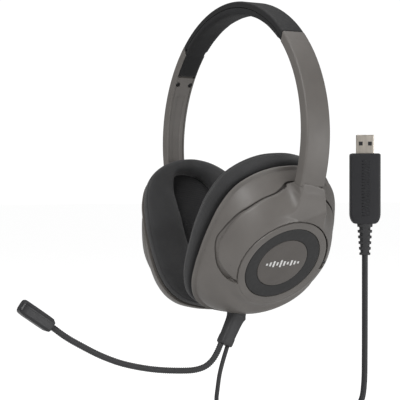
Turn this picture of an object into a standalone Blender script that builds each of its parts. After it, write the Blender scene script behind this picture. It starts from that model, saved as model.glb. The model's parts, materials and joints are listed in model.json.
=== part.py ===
"""Office headset: sprung headband, two slide-out yokes, two tilting ear cups,
a flexible boom microphone and a USB-A lead.

Frame: +Z up, +X is the wearer's left, the wearer looks along -Y.
z = 0 lies on the underside of the crown pad, under the middle of the band.
All dimensions are millimetres; they are multiplied by MM when used. One-sided
pieces are laid out on the left and mirrored for side = -1.
"""
import math

import bmesh
import bpy
import numpy as np
from mathutils import Matrix, Vector

MM = 0.001

# ---------------------------------------------------------------- driving dimensions
CROWN_TOP = 8.82          # height of the crown's outer face over the pad underside
BAND_HALF_WIDTH = 82.42   # half the width over the outer faces of the arms
SHOULDER_DROP = 87.72     # crown top to the height where the arms run straight down
BAND_POWER = 1.9816       # exponent of the crown arc, 2 is an ellipse
ARM_TUCK = 0.00557        # inward curve of the arms under the shoulder, per mm
BAND_WIDTH_TOP = 16.33    # fore-aft width of the band at the crown
BAND_WIDTH_END = 15.69    # and at the arm ends
BAND_THICK_TOP = 6.00
BAND_THICK_END = 7.55
BAND_TWIST = 16.75        # degrees that the arms turn forward towards their ends
BAND_RAKE = -0.0203       # forward lean of the arms for each mm of drop
BAND_TAPER_DROP = 145.90  # drop over which width, thickness and twist change
TAPER_LIMIT = 1.2         # the change runs on to this share of that drop
TANGENT_STEP = 0.4        # run to each side over which the band's slope is taken
COVER_LENGTH = 61.0       # half length of the crown cover, along the band
PAD_LENGTH = 82.0         # half length of the crown pad
ARM_END_Z = -109.3        # height of the joint line between arm and yoke
FLEX_GAP = 1.2            # gap that stands for the bending zone of the band

CUP_TILT = 27.6           # degrees that the cup's outward normal points down
CUP_TOE = 4.83            # degrees that the cup's outward normal points forward
BADGE_FOOT = Vector((36.0, -10.36, -142.0))  # under the badge, in the plane of the shell rim
BADGE_DEPTH = 29.3        # badge face over that point
BADGE_PITCH = 9.2         # degrees the badge face leans further down
BADGE_YAW = -4.2          # degrees the badge face turns forward, here rearward
CUP_SWEEP = Vector((-0.2307, 0.1521, -0.002))  # lean of the cup's axis per mm of height
BOSS_R = 30.4             # round boss that the yoke arches over
RING_R = 25.4             # dark ring
DISC_R = 17.2             # disc in the middle of it
# Shell rim: (angle from rearward towards up in degrees, radius)
RIM = ((0, 50.3), (20, 51.0), (40, 54.0), (60, 54.6), (78, 52.8), (89, 51.3), (101, 50.2),
       (115, 48.8), (127, 47.5), (144, 44.1), (164, 41.2), (185, 42.0), (201, 45.7),
       (216, 51.2), (226, 54.0), (236, 54.4), (250, 52.4), (270, 51.0), (290, 50.4),
       (315, 50.6), (340, 50.2))
SHELL_BULGE = 1.32        # 1 is a straight cone from rim to boss, 2 an ellipse
TOP_RELIEF = 5.0          # depth of the dip in the shell's upper rear
RELIEF_ANGLE, RELIEF_SPREAD = 72.0, 34.0   # its middle and half width in degrees
SLOPE_STEP = 0.4          # radius step over which the shell's slope is taken
YOKE_IN = 31.2            # inner radius of the yoke's arch
YOKE_THICK = 3.0
# Outer edge of the yoke: (angle from rearward towards up in degrees, radius)
YOKE_OUT = ((-24, 39.5), (-10, 42.4), (5, 43.6), (20, 45.0), (35, 47.2), (48, 48.6), (62, 46.6),
            (75, 45.0), (90, 44.0), (98, 43.0), (115, 41.6), (136, 39.6), (150, 38.2),
            (162, 37.4), (184, 37.0), (200, 36.4))
YOKE_FROM, YOKE_TO = -14.0, 192.0   # degrees
YOKE_CLEAR = 1.3          # gap between the yoke and its seat in the shell
TILT_AXIS_UP, TILT_AXIS_OUT = -2.5, 23.5   # tilt axis in the cup's frame

# ---------------------------------------------------------------- scene
for old in list(bpy.data.objects):
    bpy.data.objects.remove(old, do_unlink=True)
scene = bpy.context.scene
scene.unit_settings.system = "METRIC"
scene.unit_settings.scale_length = 1.0
MODEL = bpy.data.collections.new("office_headset")
CUTTERS = bpy.data.collections.new("cutters")
scene.collection.children.link(MODEL)
scene.collection.children.link(CUTTERS)


def material(name, colour, roughness, metallic=0.0):
    mat = bpy.data.materials.new(name)
    mat.use_nodes = True
    inputs = mat.node_tree.nodes["Principled BSDF"].inputs
    inputs["Base Color"].default_value = (*colour, 1.0)
    inputs["Roughness"].default_value = roughness
    inputs["Metallic"].default_value = metallic
    return mat


TAUPE = material("taupe_plastic", colour=(0.165, 0.150, 0.137), roughness=0.5)
BLACK = material("black_plastic", colour=(0.020, 0.020, 0.021), roughness=0.45)
FOAM = material("black_fabric", colour=(0.028, 0.028, 0.029), roughness=0.9)
STEEL = material("spring_steel", colour=(0.55, 0.55, 0.56), roughness=0.3, metallic=1.0)
RUBBER = material("black_rubber", colour=(0.022, 0.022, 0.024), roughness=0.6)
PLATED = material("plated_metal", colour=(0.72, 0.66, 0.56), roughness=0.28, metallic=1.0)
FILM = material("clear_film", colour=(0.55, 0.50, 0.40), roughness=0.35)
BOARD = material("circuit_board", colour=(0.03, 0.18, 0.08), roughness=0.5)


# ---------------------------------------------------------------- small maths
def lerp(start, end, share):
    return start + (end - start) * share


def clamp(value, low=0.0, high=1.0):
    return min(max(value, low), high)


def hermite(start, start_slope, end, end_slope, span, t):
    """Cubic between two values with given slopes; t runs 0..1 over the span."""
    return ((2 * t**3 - 3 * t**2 + 1) * start + (t**3 - 2 * t**2 + t) * span * start_slope
            + (-2 * t**3 + 3 * t**2) * end + (t**3 - t**2) * span * end_slope)


# ---------------------------------------------------------------- band curve
def band_table():
    """Run along the band's outer face from its middle, with x and z at each run."""
    turn = np.linspace(0, math.pi / 2, 500)
    shoulder_z = CROWN_TOP - SHOULDER_DROP
    x = BAND_HALF_WIDTH * np.sin(turn) ** (2 / BAND_POWER)
    z = shoulder_z + SHOULDER_DROP * np.cos(turn) ** (2 / BAND_POWER)
    arm_z = np.linspace(shoulder_z - 0.5, ARM_END_Z - 2.0, 90)
    x = np.r_[x, BAND_HALF_WIDTH - ARM_TUCK * (shoulder_z - arm_z) ** 2]
    z = np.r_[z, arm_z]
    # straight run along the end tangent, for the top of the yoke
    step_x, step_z = x[-1] - x[-2], z[-1] - z[-2]
    step = math.hypot(step_x, step_z)
    beyond = np.arange(1, 31)
    x = np.r_[x, x[-1] + beyond * step_x / step]
    z = np.r_[z, z[-1] + beyond * step_z / step]
    return np.r_[0, np.cumsum(np.hypot(np.diff(x), np.diff(z)))], x, z


BAND_RUN, BAND_X, BAND_Z = band_table()


def run_at_height(z):
    return float(np.interp(-z, -BAND_Z, BAND_RUN))


def band_taper(z):
    return clamp((CROWN_TOP - z) / BAND_TAPER_DROP, 0.0, TAPER_LIMIT)


def band_thick(run):
    return lerp(BAND_THICK_TOP, BAND_THICK_END, band_taper(np.interp(abs(run), BAND_RUN, BAND_Z)))


def band_width(run):
    return lerp(BAND_WIDTH_TOP, BAND_WIDTH_END, band_taper(np.interp(abs(run), BAND_RUN, BAND_Z)))


def band_point(run, across, depth):
    """run: signed length along the band from its middle. across: distance
    rearward from the centre line. depth: under the outer face."""
    side = -1.0 if run < 0 else 1.0
    run = abs(run)
    x, z = np.interp(run, BAND_RUN, BAND_X), np.interp(run, BAND_RUN, BAND_Z)
    normal_x, normal_z = 0.0, 1.0
    if run >= TANGENT_STEP:
        ends = (run - TANGENT_STEP, run + TANGENT_STEP)
        x0, x1 = np.interp(ends, BAND_RUN, BAND_X)
        z0, z1 = np.interp(ends, BAND_RUN, BAND_Z)
        chord = math.hypot(x1 - x0, z1 - z0)
        normal_x, normal_z = -(z1 - z0) / chord, (x1 - x0) / chord
    twist = math.radians(BAND_TWIST) * band_taper(z)
    return Vector((side * (x - normal_x * depth + across * math.sin(twist)),
                   across * math.cos(twist) + BAND_RAKE * (CROWN_TOP - z),
                   z - normal_z * depth))


ARM_END = run_at_height(ARM_END_Z)

# ---------------------------------------------------------------- cup frame
tilt, toe = math.radians(CUP_TILT), math.radians(CUP_TOE)
level_out = Vector((math.cos(toe), -math.sin(toe), 0.0))
CUP_REAR = Vector((math.sin(toe), math.cos(toe), 0.0))
CUP_OUT = level_out * math.cos(tilt) - Vector((0, 0, math.sin(tilt)))
CUP_UP = level_out * math.sin(tilt) + Vector((0, 0, math.cos(tilt)))
CUP_AXIS = CUP_OUT + CUP_SWEEP   # the swept axis that the shell and the yoke rise along

RIM_ANGLES = np.array([angle + turn for turn in (-360, 0, 360) for angle, _ in RIM], float)
RIM_RADII = np.array([radius for _ in range(3) for _, radius in RIM], float)
YOKE_ANGLES, YOKE_RADII = zip(*YOKE_OUT)


def cup_point(rearward, upward, outward, swept=True):
    """Point in the cup's frame, origin under the badge. The cushion side,
    outward under 0, is square to the rim; so is all of it if not swept."""
    axis = CUP_AXIS if swept and outward > 0 else CUP_OUT
    return BADGE_FOOT + CUP_REAR * rearward + CUP_UP * upward + axis * outward


def polar(deg, radius, outward):
    angle = math.radians(deg)
    return cup_point(radius * math.cos(angle), radius * math.sin(angle), outward)


def rim_radius(deg):
    """Smooth closed curve through the RIM points."""
    deg = deg % 360.0
    i = int(np.searchsorted(RIM_ANGLES, deg, side="right")) - 1
    slopes = [(RIM_RADII[j + 1] - RIM_RADII[j - 1]) / (RIM_ANGLES[j + 1] - RIM_ANGLES[j - 1])
              for j in (i, i + 1)]
    span = RIM_ANGLES[i + 1] - RIM_ANGLES[i]
    return float(hermite(RIM_RADII[i], slopes[0], RIM_RADII[i + 1], slopes[1], span,
                         (deg - RIM_ANGLES[i]) / span))


def yoke_radius(deg):
    return float(np.interp(deg, YOKE_ANGLES, YOKE_RADII))


def badge_height(deg, radius, offset=0.0):
    """Height of the leaning badge plane over the rim plane."""
    rearward = radius * math.cos(math.radians(deg))
    upward = radius * math.sin(math.radians(deg))
    return (BADGE_DEPTH + upward * math.tan(math.radians(BADGE_PITCH))
            + rearward * math.tan(math.radians(BADGE_YAW)) + offset)


def shell_height(deg, radius):
    """Outer face of the shell over the rim plane, outside the boss."""
    top = badge_height(deg, BOSS_R)
    share = clamp((radius - BOSS_R) / (rim_radius(deg) - BOSS_R))
    dip = max(0.0, 1 - ((deg - RELIEF_ANGLE) / RELIEF_SPREAD) ** 2) ** 2
    return (top * (1 - share**SHELL_BULGE) ** (1 / SHELL_BULGE)
            - TOP_RELIEF * dip * math.sin(math.pi * share**1.5))


def shell_normal(deg, radius):
    """Radial and outward parts of the shell's normal."""
    slope = (shell_height(deg, radius - SLOPE_STEP) - shell_height(deg, radius)) / SLOPE_STEP
    return slope / math.hypot(slope, 1), 1 / math.hypot(slope, 1)


# ---------------------------------------------------------------- modelling helpers
def add_piece(name, shape, mat, side=1, smooth=False, bevel=0.0, segments=1, collection=MODEL):
    if side < 0:
        for vert in shape.verts:
            vert.co.x = -vert.co.x
    bmesh.ops.recalc_face_normals(shape, faces=shape.faces)
    if shape.calc_volume(signed=True) < 0:
        bmesh.ops.reverse_faces(shape, faces=shape.faces)
    mesh = bpy.data.meshes.new(name)
    shape.to_mesh(mesh)
    shape.free()
    for face in mesh.polygons:
        face.use_smooth = smooth
    mesh.materials.append(mat)
    piece = bpy.data.objects.new(name, mesh)
    collection.objects.link(piece)
    if bevel:
        mod = piece.modifiers.new("edges", "BEVEL")
        mod.width = bevel * MM
        mod.segments = segments
        mod.limit_method = "ANGLE"
        mod.angle_limit = math.radians(40)
    return piece


def cut(piece, shape, side=1, operation="DIFFERENCE"):
    """Takes the shape away from the piece, by way of a hidden helper object."""
    helper = add_piece("cutter", shape, BLACK, side, collection=CUTTERS)
    helper.hide_render = True
    helper.display_type = "WIRE"
    mod = piece.modifiers.new("cut", "BOOLEAN")
    mod.operation = operation
    mod.solver = "EXACT"
    mod.object = helper


def join(piece, shape, side=1):
    cut(piece, shape, side, "UNION")


def slab(steps_s, steps_t, upper, lower):
    """A grid bent onto one face, upper(s, t), and thickened onto lower(s, t)."""
    shape = bmesh.new()
    bmesh.ops.create_grid(shape, x_segments=steps_s, y_segments=steps_t, size=0.5)
    first = {vert: (vert.co.x + 0.5, vert.co.y + 0.5) for vert in shape.verts}
    out = bmesh.ops.extrude_face_region(shape, geom=list(shape.faces))
    for vert in out["geom"]:
        if isinstance(vert, bmesh.types.BMVert):
            vert.co = lower(vert.co.x + 0.5, vert.co.y + 0.5) * MM
    for vert, (s, t) in first.items():
        vert.co = upper(s, t) * MM
    return shape


def bar(run_from, run_to, half_width, depth_out, depth_in, steps):
    """A bar that follows the band. Half width and depths may be functions of run."""
    def value(size, run):
        return size(run) if callable(size) else size

    def face(depth):
        def at(s, t):
            run = lerp(run_from, run_to, s)
            return band_point(run, (t - 0.5) * 2 * value(half_width, run), value(depth, run))
        return at
    return slab(steps, 1, face(depth_out), face(depth_in))


def half_band(inset):
    """Half width of a bar that stays this far inside the band's edges."""
    return lambda run: band_width(run) / 2 - inset


def above_inner(rise):
    """Depth that stays this far outside the band's inner face."""
    return lambda run: band_thick(run) - rise


def lathe(steps, outline, centre=(0.0, 0.0), swept=True):
    """outline(deg) gives the closed outline (radius, outward) of a turned piece;
    a first and last radius of 0 close it on the axis. centre: (rearward, upward)."""
    shape = bmesh.new()
    outlines = [outline(360.0 * i / steps) for i in range(steps)]
    count = len(outlines[0])
    on_axis = outlines[0][0][0] == 0.0 and outlines[0][-1][0] == 0.0
    rows = count - 1 if on_axis else count
    bmesh.ops.create_grid(shape, x_segments=steps, y_segments=rows, size=0.5)
    for vert in shape.verts:
        i = int(round((vert.co.x + 0.5) * steps)) % steps
        j = int(round((vert.co.y + 0.5) * rows)) % count
        radius, outward = outlines[i][j]
        angle = 2 * math.pi * i / steps
        vert.co = cup_point(centre[0] + radius * math.cos(angle),
                            centre[1] + radius * math.sin(angle), outward, swept) * MM
    bmesh.ops.remove_doubles(shape, verts=shape.verts, dist=1e-6)
    return shape


def box(size, matrix):
    shape = bmesh.new()
    bmesh.ops.create_cube(shape, size=1.0)
    bmesh.ops.scale(shape, vec=Vector(size) * MM, verts=shape.verts)
    bmesh.ops.transform(shape, matrix=matrix, verts=shape.verts)
    return shape


def rod(start, end, radius, sides, end_radius=None):
    """A cylinder or cone between two points."""
    start, end = Vector(start) * MM, Vector(end) * MM
    shape = bmesh.new()
    bmesh.ops.create_cone(shape, cap_ends=True, segments=sides, radius1=radius * MM,
                          radius2=(radius if end_radius is None else end_radius) * MM,
                          depth=(end - start).length)
    turn = (end - start).to_track_quat("Z", "Y").to_matrix().to_4x4()
    bmesh.ops.transform(shape, matrix=Matrix.Translation((start + end) / 2) @ turn,
                        verts=shape.verts)
    return shape


def place(x_axis, y_axis, z_axis, at):
    matrix = Matrix.Identity(4)
    for i, axis in enumerate((x_axis, y_axis, z_axis)):
        unit = axis.normalized()
        for j in range(3):
            matrix[j][i] = unit[j]
    matrix.translation = at * MM
    return matrix


def wire(name, points, radius, mat):
    curve = bpy.data.curves.new(name, "CURVE")
    curve.dimensions = "3D"
    curve.bevel_depth = radius * MM
    curve.bevel_resolution = 1
    curve.use_fill_caps = True
    spline = curve.splines.new("POLY")
    spline.points.add(len(points) - 1)
    for spline_point, point in zip(spline.points, points):
        spline_point.co = (*(point * MM), 1.0)
    curve.materials.append(mat)
    piece = bpy.data.objects.new(name, curve)
    MODEL.objects.link(piece)
    return piece


def smooth_path(points, count):
    """Centripetal curve through the points, as count evenly spaced points."""
    knots = np.array(points, float)
    times = np.r_[0, np.cumsum(np.linalg.norm(np.diff(knots, axis=0), axis=1) ** 0.5)]
    fine = np.linspace(0, times[-1], 600)
    slopes = np.zeros_like(knots)
    slopes[1:-1] = (knots[2:] - knots[:-2]) / (times[2:] - times[:-2])[:, None]
    slopes[0] = (knots[1] - knots[0]) / (times[1] - times[0])
    slopes[-1] = (knots[-1] - knots[-2]) / (times[-1] - times[-2])
    i = np.clip(np.searchsorted(times, fine, side="right") - 1, 0, len(knots) - 2)
    span = (times[i + 1] - times[i])[:, None]
    share = ((fine - times[i]) / (times[i + 1] - times[i]))[:, None]
    curve = hermite(knots[i], slopes[i], knots[i + 1], slopes[i + 1], span, share)
    length = np.r_[0, np.cumsum(np.linalg.norm(np.diff(curve, axis=0), axis=1))]
    return [Vector([np.interp(want, length, curve[:, axis]) for axis in range(3)])
            for want in np.linspace(0, length[-1], count)]


# ---------------------------------------------------------------- crown
COVER_THICK = 3.9
COVER_TOP_WALL, COVER_SIDE_WALL, COVER_END_WALL = 1.5, 1.9, 1.5
SPRING_OUT, SPRING_IN = 1.9, 2.9   # depths of the spring band's two faces
SPRING_INSET = 2.3                 # from the band's edges
SPRING_END_GAP = 2.0               # from the ends of the cover
PAD_INSET = 0.15
PAD_LET_IN = 0.35                  # depth of the pad's top under the cover's underside
PAD_END_ROUND = 14.0               # length over which the pad's ends thin out
PAD_BELLY_EDGE, PAD_BELLY = 0.5, 2.32
PAD_FLAT = 0.34                    # flat share of the pad's half width


def crown_cover():
    cover = add_piece("crown_cover",
                      bar(-COVER_LENGTH, COVER_LENGTH, half_band(0), 0.0, COVER_THICK, 27),
                      BLACK, bevel=0.9)
    inner = COVER_LENGTH - COVER_END_WALL
    cut(cover, bar(-inner, inner, half_band(COVER_SIDE_WALL), COVER_TOP_WALL,
                   COVER_THICK + 2, 27))


def spring_band():
    reach = COVER_LENGTH - SPRING_END_GAP
    add_piece("spring_band",
              bar(-reach, reach, half_band(SPRING_INSET), SPRING_OUT, SPRING_IN, 27), STEEL)


def crown_pad():
    def low(s, t):
        run = lerp(-PAD_LENGTH, PAD_LENGTH, s)
        across = (t - 0.5) * 2
        end = min(1.0, (PAD_LENGTH - abs(run)) / PAD_END_ROUND)
        middle = 1 - clamp((abs(run) - 0.25 * COVER_LENGTH) / (0.8 * COVER_LENGTH))
        belly = (PAD_BELLY_EDGE + PAD_BELLY * lerp(0.35, 1.0, middle)) * math.sqrt(max(end, 0.0))
        edge = max(0.0, (abs(across) - PAD_FLAT) / (1 - PAD_FLAT))
        return band_point(run, across * (band_width(run) / 2 - PAD_INSET),
                          BAND_THICK_TOP + belly * (1 - edge**2.2))

    def high(s, t):
        run = lerp(-PAD_LENGTH, PAD_LENGTH, s)
        return band_point(run, (t - 0.5) * 2 * (band_width(run) / 2 - PAD_INSET),
                          COVER_THICK + PAD_LET_IN)

    add_piece("crown_pad", slab(33, 6, high, low), FOAM)


# ---------------------------------------------------------------- arms
ARM_FROM = COVER_LENGTH + FLEX_GAP
ARM_SIDE_WALL, ARM_OUTER_WALL = 1.7, 1.45
BEYOND_BAND = 14.0          # depth or half width that clears the band
PLATE_FROM = PAD_LENGTH + 0.8
PLATE_BLOCK = 12.0          # length of the screwed block of the arm's inner plate
PLATE_INSET = 2.0
PLATE_OUT, PLATE_IN = 1.9, 0.35   # plate faces, outside the band's inner face
BLOCK_OUT = 3.3             # depth of the block's outer face
CHANNEL_HALF_WIDTH = 3.0    # shallow channel in the plate
SCREW_RUN = PLATE_FROM + 4.2
SCREW_OFFSET = 3.4          # from the centre line
SCREW_PLACES = (("front", -SCREW_OFFSET), ("rear", SCREW_OFFSET))
HEAD_HOLE_R, SHANK_HOLE_R, SPRING_HOLE_R = 2.1, 1.15, 1.2
HEAD_TOP_R, HEAD_UNDER_R, SHANK_R = 1.55, 1.7, 0.85
SLOT_SIZE = (1.9, 0.5, 0.8)


def arm(side, tag):
    piece = add_piece(f"{tag}_arm", bar(ARM_FROM, ARM_END, half_band(0), 0.0, band_thick, 16),
                      TAUPE, side, bevel=0.8)
    cut(piece, bar(ARM_FROM - 2, ARM_END + 4, half_band(ARM_SIDE_WALL), ARM_OUTER_WALL,
                   BEYOND_BAND, 16), side)
    # the pad lies on the inner side of the arm's top end
    cut(piece, bar(ARM_FROM - 2, PAD_LENGTH + 0.4, BEYOND_BAND, COVER_THICK, BEYOND_BAND, 6), side)


def arm_plate(side, tag):
    """Inner plate: a screwed block above, a thin wall with a channel below."""
    block_end = PLATE_FROM + PLATE_BLOCK
    plate = add_piece(f"{tag}_arm_plate",
                      bar(PLATE_FROM, ARM_END - 0.4, half_band(PLATE_INSET),
                          above_inner(PLATE_OUT), above_inner(PLATE_IN), 14), TAUPE, side)
    join(plate, bar(PLATE_FROM + 0.01, block_end, half_band(PLATE_INSET + 0.02), BLOCK_OUT,
                    above_inner(0.9), 3), side)
    cut(plate, bar(block_end + 4, ARM_END - 8, CHANNEL_HALF_WIDTH, above_inner(0.8),
                   BEYOND_BAND, 10), side)
    return plate


def arm_screws(plate, side, tag):
    """Pan head screws with shanks, and their stepped holes in the plate."""
    inner = band_thick(SCREW_RUN)
    for end, across in SCREW_PLACES:
        def at(depth):
            return band_point(SCREW_RUN, across, depth)

        cut(plate, rod(at(inner + 2.0), at(inner - 1.9), HEAD_HOLE_R, 14), side)
        cut(plate, rod(at(inner + 1.0), at(2.4), SHANK_HOLE_R, 12), side)
        screw = add_piece(f"{tag}_arm_screw_{end}",
                          rod(at(inner - 0.55), at(inner - 1.6), HEAD_TOP_R, 14, HEAD_UNDER_R),
                          STEEL, side)
        join(screw, rod(at(inner - 1.3), at(2.05), SHANK_R, 12), side)
        slot_depth = Vector((1, 0, 0))
        cut(screw, box(SLOT_SIZE, place(CUP_REAR, CUP_REAR.cross(slot_depth), slot_depth,
                                        at(inner - 0.6))), side)


def spring_end(side, tag):
    piece = add_piece(f"{tag}_spring_end",
                      bar(ARM_FROM + 0.3, PLATE_FROM + 7.4, half_band(SPRING_INSET),
                          SPRING_OUT, SPRING_IN, 6), STEEL, side)
    for _, across in SCREW_PLACES:
        cut(piece, rod(band_point(SCREW_RUN, across, 0.5), band_point(SCREW_RUN, across, 5.0),
                       SPRING_HOLE_R, 12), side)


# ---------------------------------------------------------------- yokes
YOKE_LOWER_INSETS = (0.9, 0.3)   # underside's inner and outer edges, from the top face's
YOKE_LIFT = 0.1                  # top face over the shell's surface
LOBE_ROUND = 10.0                # degrees over which the lobe ends are rounded
LOBE_END_SHARE = 0.35            # width left at the very end
STEM_FRONT, STEM_REAR = 112, 66  # degrees round the cup where the stem lands
STEM_LAND_OUT, STEM_LAND_IN = 33.0, 34.5   # landing radii of its two faces
STEM_THICK = 2.4                 # at the landing

STRIP_WIDTH, STRIP_THICK = 8.6, 1.2
STRIP_TOP_Z = -79.0
STRIP_TOP = band_point(run_at_height(STRIP_TOP_Z), 0.0, 2.6)
STRIP_EXIT = band_point(ARM_END, 0.0, 2.9)   # where it leaves the arm
STRIP_BEYOND = 9.3               # length past the exit
SLIDE_DIR = (STRIP_EXIT - STRIP_TOP).normalized()
strip_twist = math.radians(BAND_TWIST * 0.8)
level_across = Vector((math.sin(strip_twist), math.cos(strip_twist), 0))
STRIP_ACROSS = (level_across - SLIDE_DIR * level_across.dot(SLIDE_DIR)).normalized()
STRIP_NORMAL = SLIDE_DIR.cross(STRIP_ACROSS)
POCKET_LENGTH, POCKET_PLAY = 11.6, 0.7
NOTCH_COUNT, NOTCH_FIRST, NOTCH_PITCH, NOTCH_R = 6, 6, 4, 1.0

PIN_R, PIN_BORE_R = 1.5, 1.85
PIN_SUNK, BORE_SUNK, PIN_INNER = 1.6, 1.3, 8.6   # ends, in from the shell's surface


def strip_box(size, centre):
    return box(size, place(STRIP_ACROSS, STRIP_NORMAL, SLIDE_DIR, centre))


def yoke_face(drop, inset_in, inset_out):
    """Face of the arch, sunk by drop square to the shell's slope."""
    def at(s, t):
        deg = lerp(YOKE_FROM, YOKE_TO, s)
        edge = min(1.0, min(deg - YOKE_FROM, YOKE_TO - deg) / LOBE_ROUND)
        share = lerp(LOBE_END_SHARE, 1.0, math.sqrt(max(0.0, 1 - (1 - edge) ** 2)))
        inner, outer = YOKE_IN + inset_in, yoke_radius(deg) - inset_out
        middle = (inner + outer) / 2
        radius = middle + (lerp(inner, outer, t) - middle) * share
        on_shell = min(radius, rim_radius(deg) - 1.2)
        normal_r, normal_out = shell_normal(deg, on_shell)
        return polar(deg, max(radius - normal_r * drop, inner),
                     shell_height(deg, on_shell) + YOKE_LIFT - normal_out * drop)
    return at


def stem_face(depth, land_radius, drop):
    """Face that runs from the arm's section down onto the arch."""
    run = ARM_END + 0.5
    half_width = band_width(run) / 2

    def at(s, t):
        across = (t - 0.5) * 2 * half_width
        start = band_point(run, across, depth)
        start_pull = band_point(run + 5, across, depth)
        deg = lerp(STEM_FRONT, STEM_REAR, t)
        end = polar(deg, land_radius, shell_height(deg, land_radius) - 0.25 - drop)
        end_pull = end + (start_pull - end) * 0.45 + CUP_OUT * 0.6
        return (start * (1 - s) ** 3 + start_pull * 3 * s * (1 - s) ** 2
                + end_pull * 3 * s * s * (1 - s) + end * s**3)
    return at


def yoke(side, tag):
    piece = add_piece(f"{tag}_yoke",
                      slab(30, 3, yoke_face(0.0, 0.0, 0.0),
                           yoke_face(YOKE_THICK, *YOKE_LOWER_INSETS)), TAUPE, side)
    join(piece, slab(8, 4, stem_face(0.0, STEM_LAND_OUT, 0.0),
                     stem_face(band_thick(ARM_END) - 1.2, STEM_LAND_IN, STEM_THICK)), side)
    # pocket for the slider strip
    cut(piece, strip_box((STRIP_WIDTH + POCKET_PLAY, STRIP_THICK + POCKET_PLAY, POCKET_LENGTH),
                         STRIP_EXIT + SLIDE_DIR * 4), side)
    return piece


def slider(side, tag):
    length = (STRIP_EXIT - STRIP_TOP).length + STRIP_BEYOND
    strip = add_piece(f"{tag}_slider",
                      strip_box((STRIP_WIDTH, STRIP_THICK, length),
                                STRIP_TOP + SLIDE_DIR * length / 2), STEEL, side)
    # click notches along one edge of the strip
    for i in range(NOTCH_COUNT):
        centre = (STRIP_TOP + SLIDE_DIR * (NOTCH_FIRST + NOTCH_PITCH * i)
                  + STRIP_ACROSS * (STRIP_WIDTH / 2 + 0.4))
        cut(strip, rod(centre - STRIP_NORMAL * 2, centre + STRIP_NORMAL * 2, NOTCH_R, 10), side)


def tilt_axis_point(rearward):
    return cup_point(rearward, TILT_AXIS_UP, TILT_AXIS_OUT)


def pivot_pins(yoke_piece, side, tag):
    """One pin through each lobe of the yoke."""
    radii = np.linspace(31, 48, 60)
    for end, sign, deg in (("front", -1, 180.0), ("rear", 1, 0.0)):
        # radius where the shell's surface is as high as the axis
        surface = np.interp(-TILT_AXIS_OUT, [-shell_height(deg, radius) for radius in radii], radii)
        inner = tilt_axis_point(sign * (surface - PIN_INNER))
        cut(yoke_piece, rod(tilt_axis_point(sign * (surface - BORE_SUNK)), inner,
                            PIN_BORE_R, 14), side)
        add_piece(f"{tag}_pivot_pin_{end}",
                  rod(tilt_axis_point(sign * (surface - PIN_SUNK)), inner, PIN_R, 14),
                  STEEL, side)


# ---------------------------------------------------------------- cups
# Badge outlines: (radius, offset from the badge plane)
SHELL_FACE = ((0.0, -1.9), (12.0, -1.9), (RING_R + 0.35, -1.9), (RING_R + 0.35, -0.1),
              (BOSS_R, 0.0))
BADGE_RING = ((DISC_R + 0.3, -1.5), (RING_R, -1.5), (RING_R, -0.25), (DISC_R + 0.3, -0.55))
BADGE_DISC = ((0.0, -1.5), (DISC_R, -1.5), (DISC_R, -0.35), (0.0, -0.35))

SEAT_DROP = YOKE_THICK + YOKE_CLEAR      # depth of the yoke's seat in the shell
SEAT_FROM, SEAT_TO = YOKE_FROM - 6.5, YOKE_TO + 7.5   # degrees
SEAT_IN = BOSS_R + 0.05
SEAT_EDGE_GAP = 0.55                     # round the yoke's outer edge
# extra seat width round the stem: amount, middle and half width in degrees
STEM_ROOM, STEM_ROOM_ANGLE, STEM_ROOM_SPREAD = 7.0, 77.0, 26.0
PIN_HOLE_R, PIN_HOLE_INNER = 2.0, 22
PIN_HOLE_ENDS = (-47, 48)                # outer ends of the front and rear holes

DRIVER_CENTRE = (1.5, 1.0)               # rearward, upward
# Driver outlines: (radius, outward)
DRIVER_FRAME = ((19.2, 2.8), (21.2, 2.8), (21.2, 4.2), (14.5, 8.6), (9.6, 8.6), (9.6, 7.2),
                (13.6, 7.2), (19.2, 3.9))
DRIVER_MAGNET = ((0.0, 5.2), (8.8, 5.2), (8.8, 10.6), (0.0, 10.6))
DRIVER_DIAPHRAGM = ((0.0, 2.9), (4.5, 2.6), (9.0, 1.5), (14.0, 0.7), (19.0, 0.7), (19.0, 1.0),
                    (14.0, 1.1), (9.0, 1.9), (4.5, 3.1), (0.0, 3.4))

CUSHION_DEPTH = 12.6
CUSHION_PROUD = 2.4
CUSHION_TOP = -2.6                       # face towards the shell


def badge_outline(deg, stations):
    return [(radius, badge_height(deg, radius, offset)) for radius, offset in stations]


def block_outline(inner, outer, low, high):
    return [(inner, low), (outer, low), (outer, high), (inner, high)]


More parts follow.
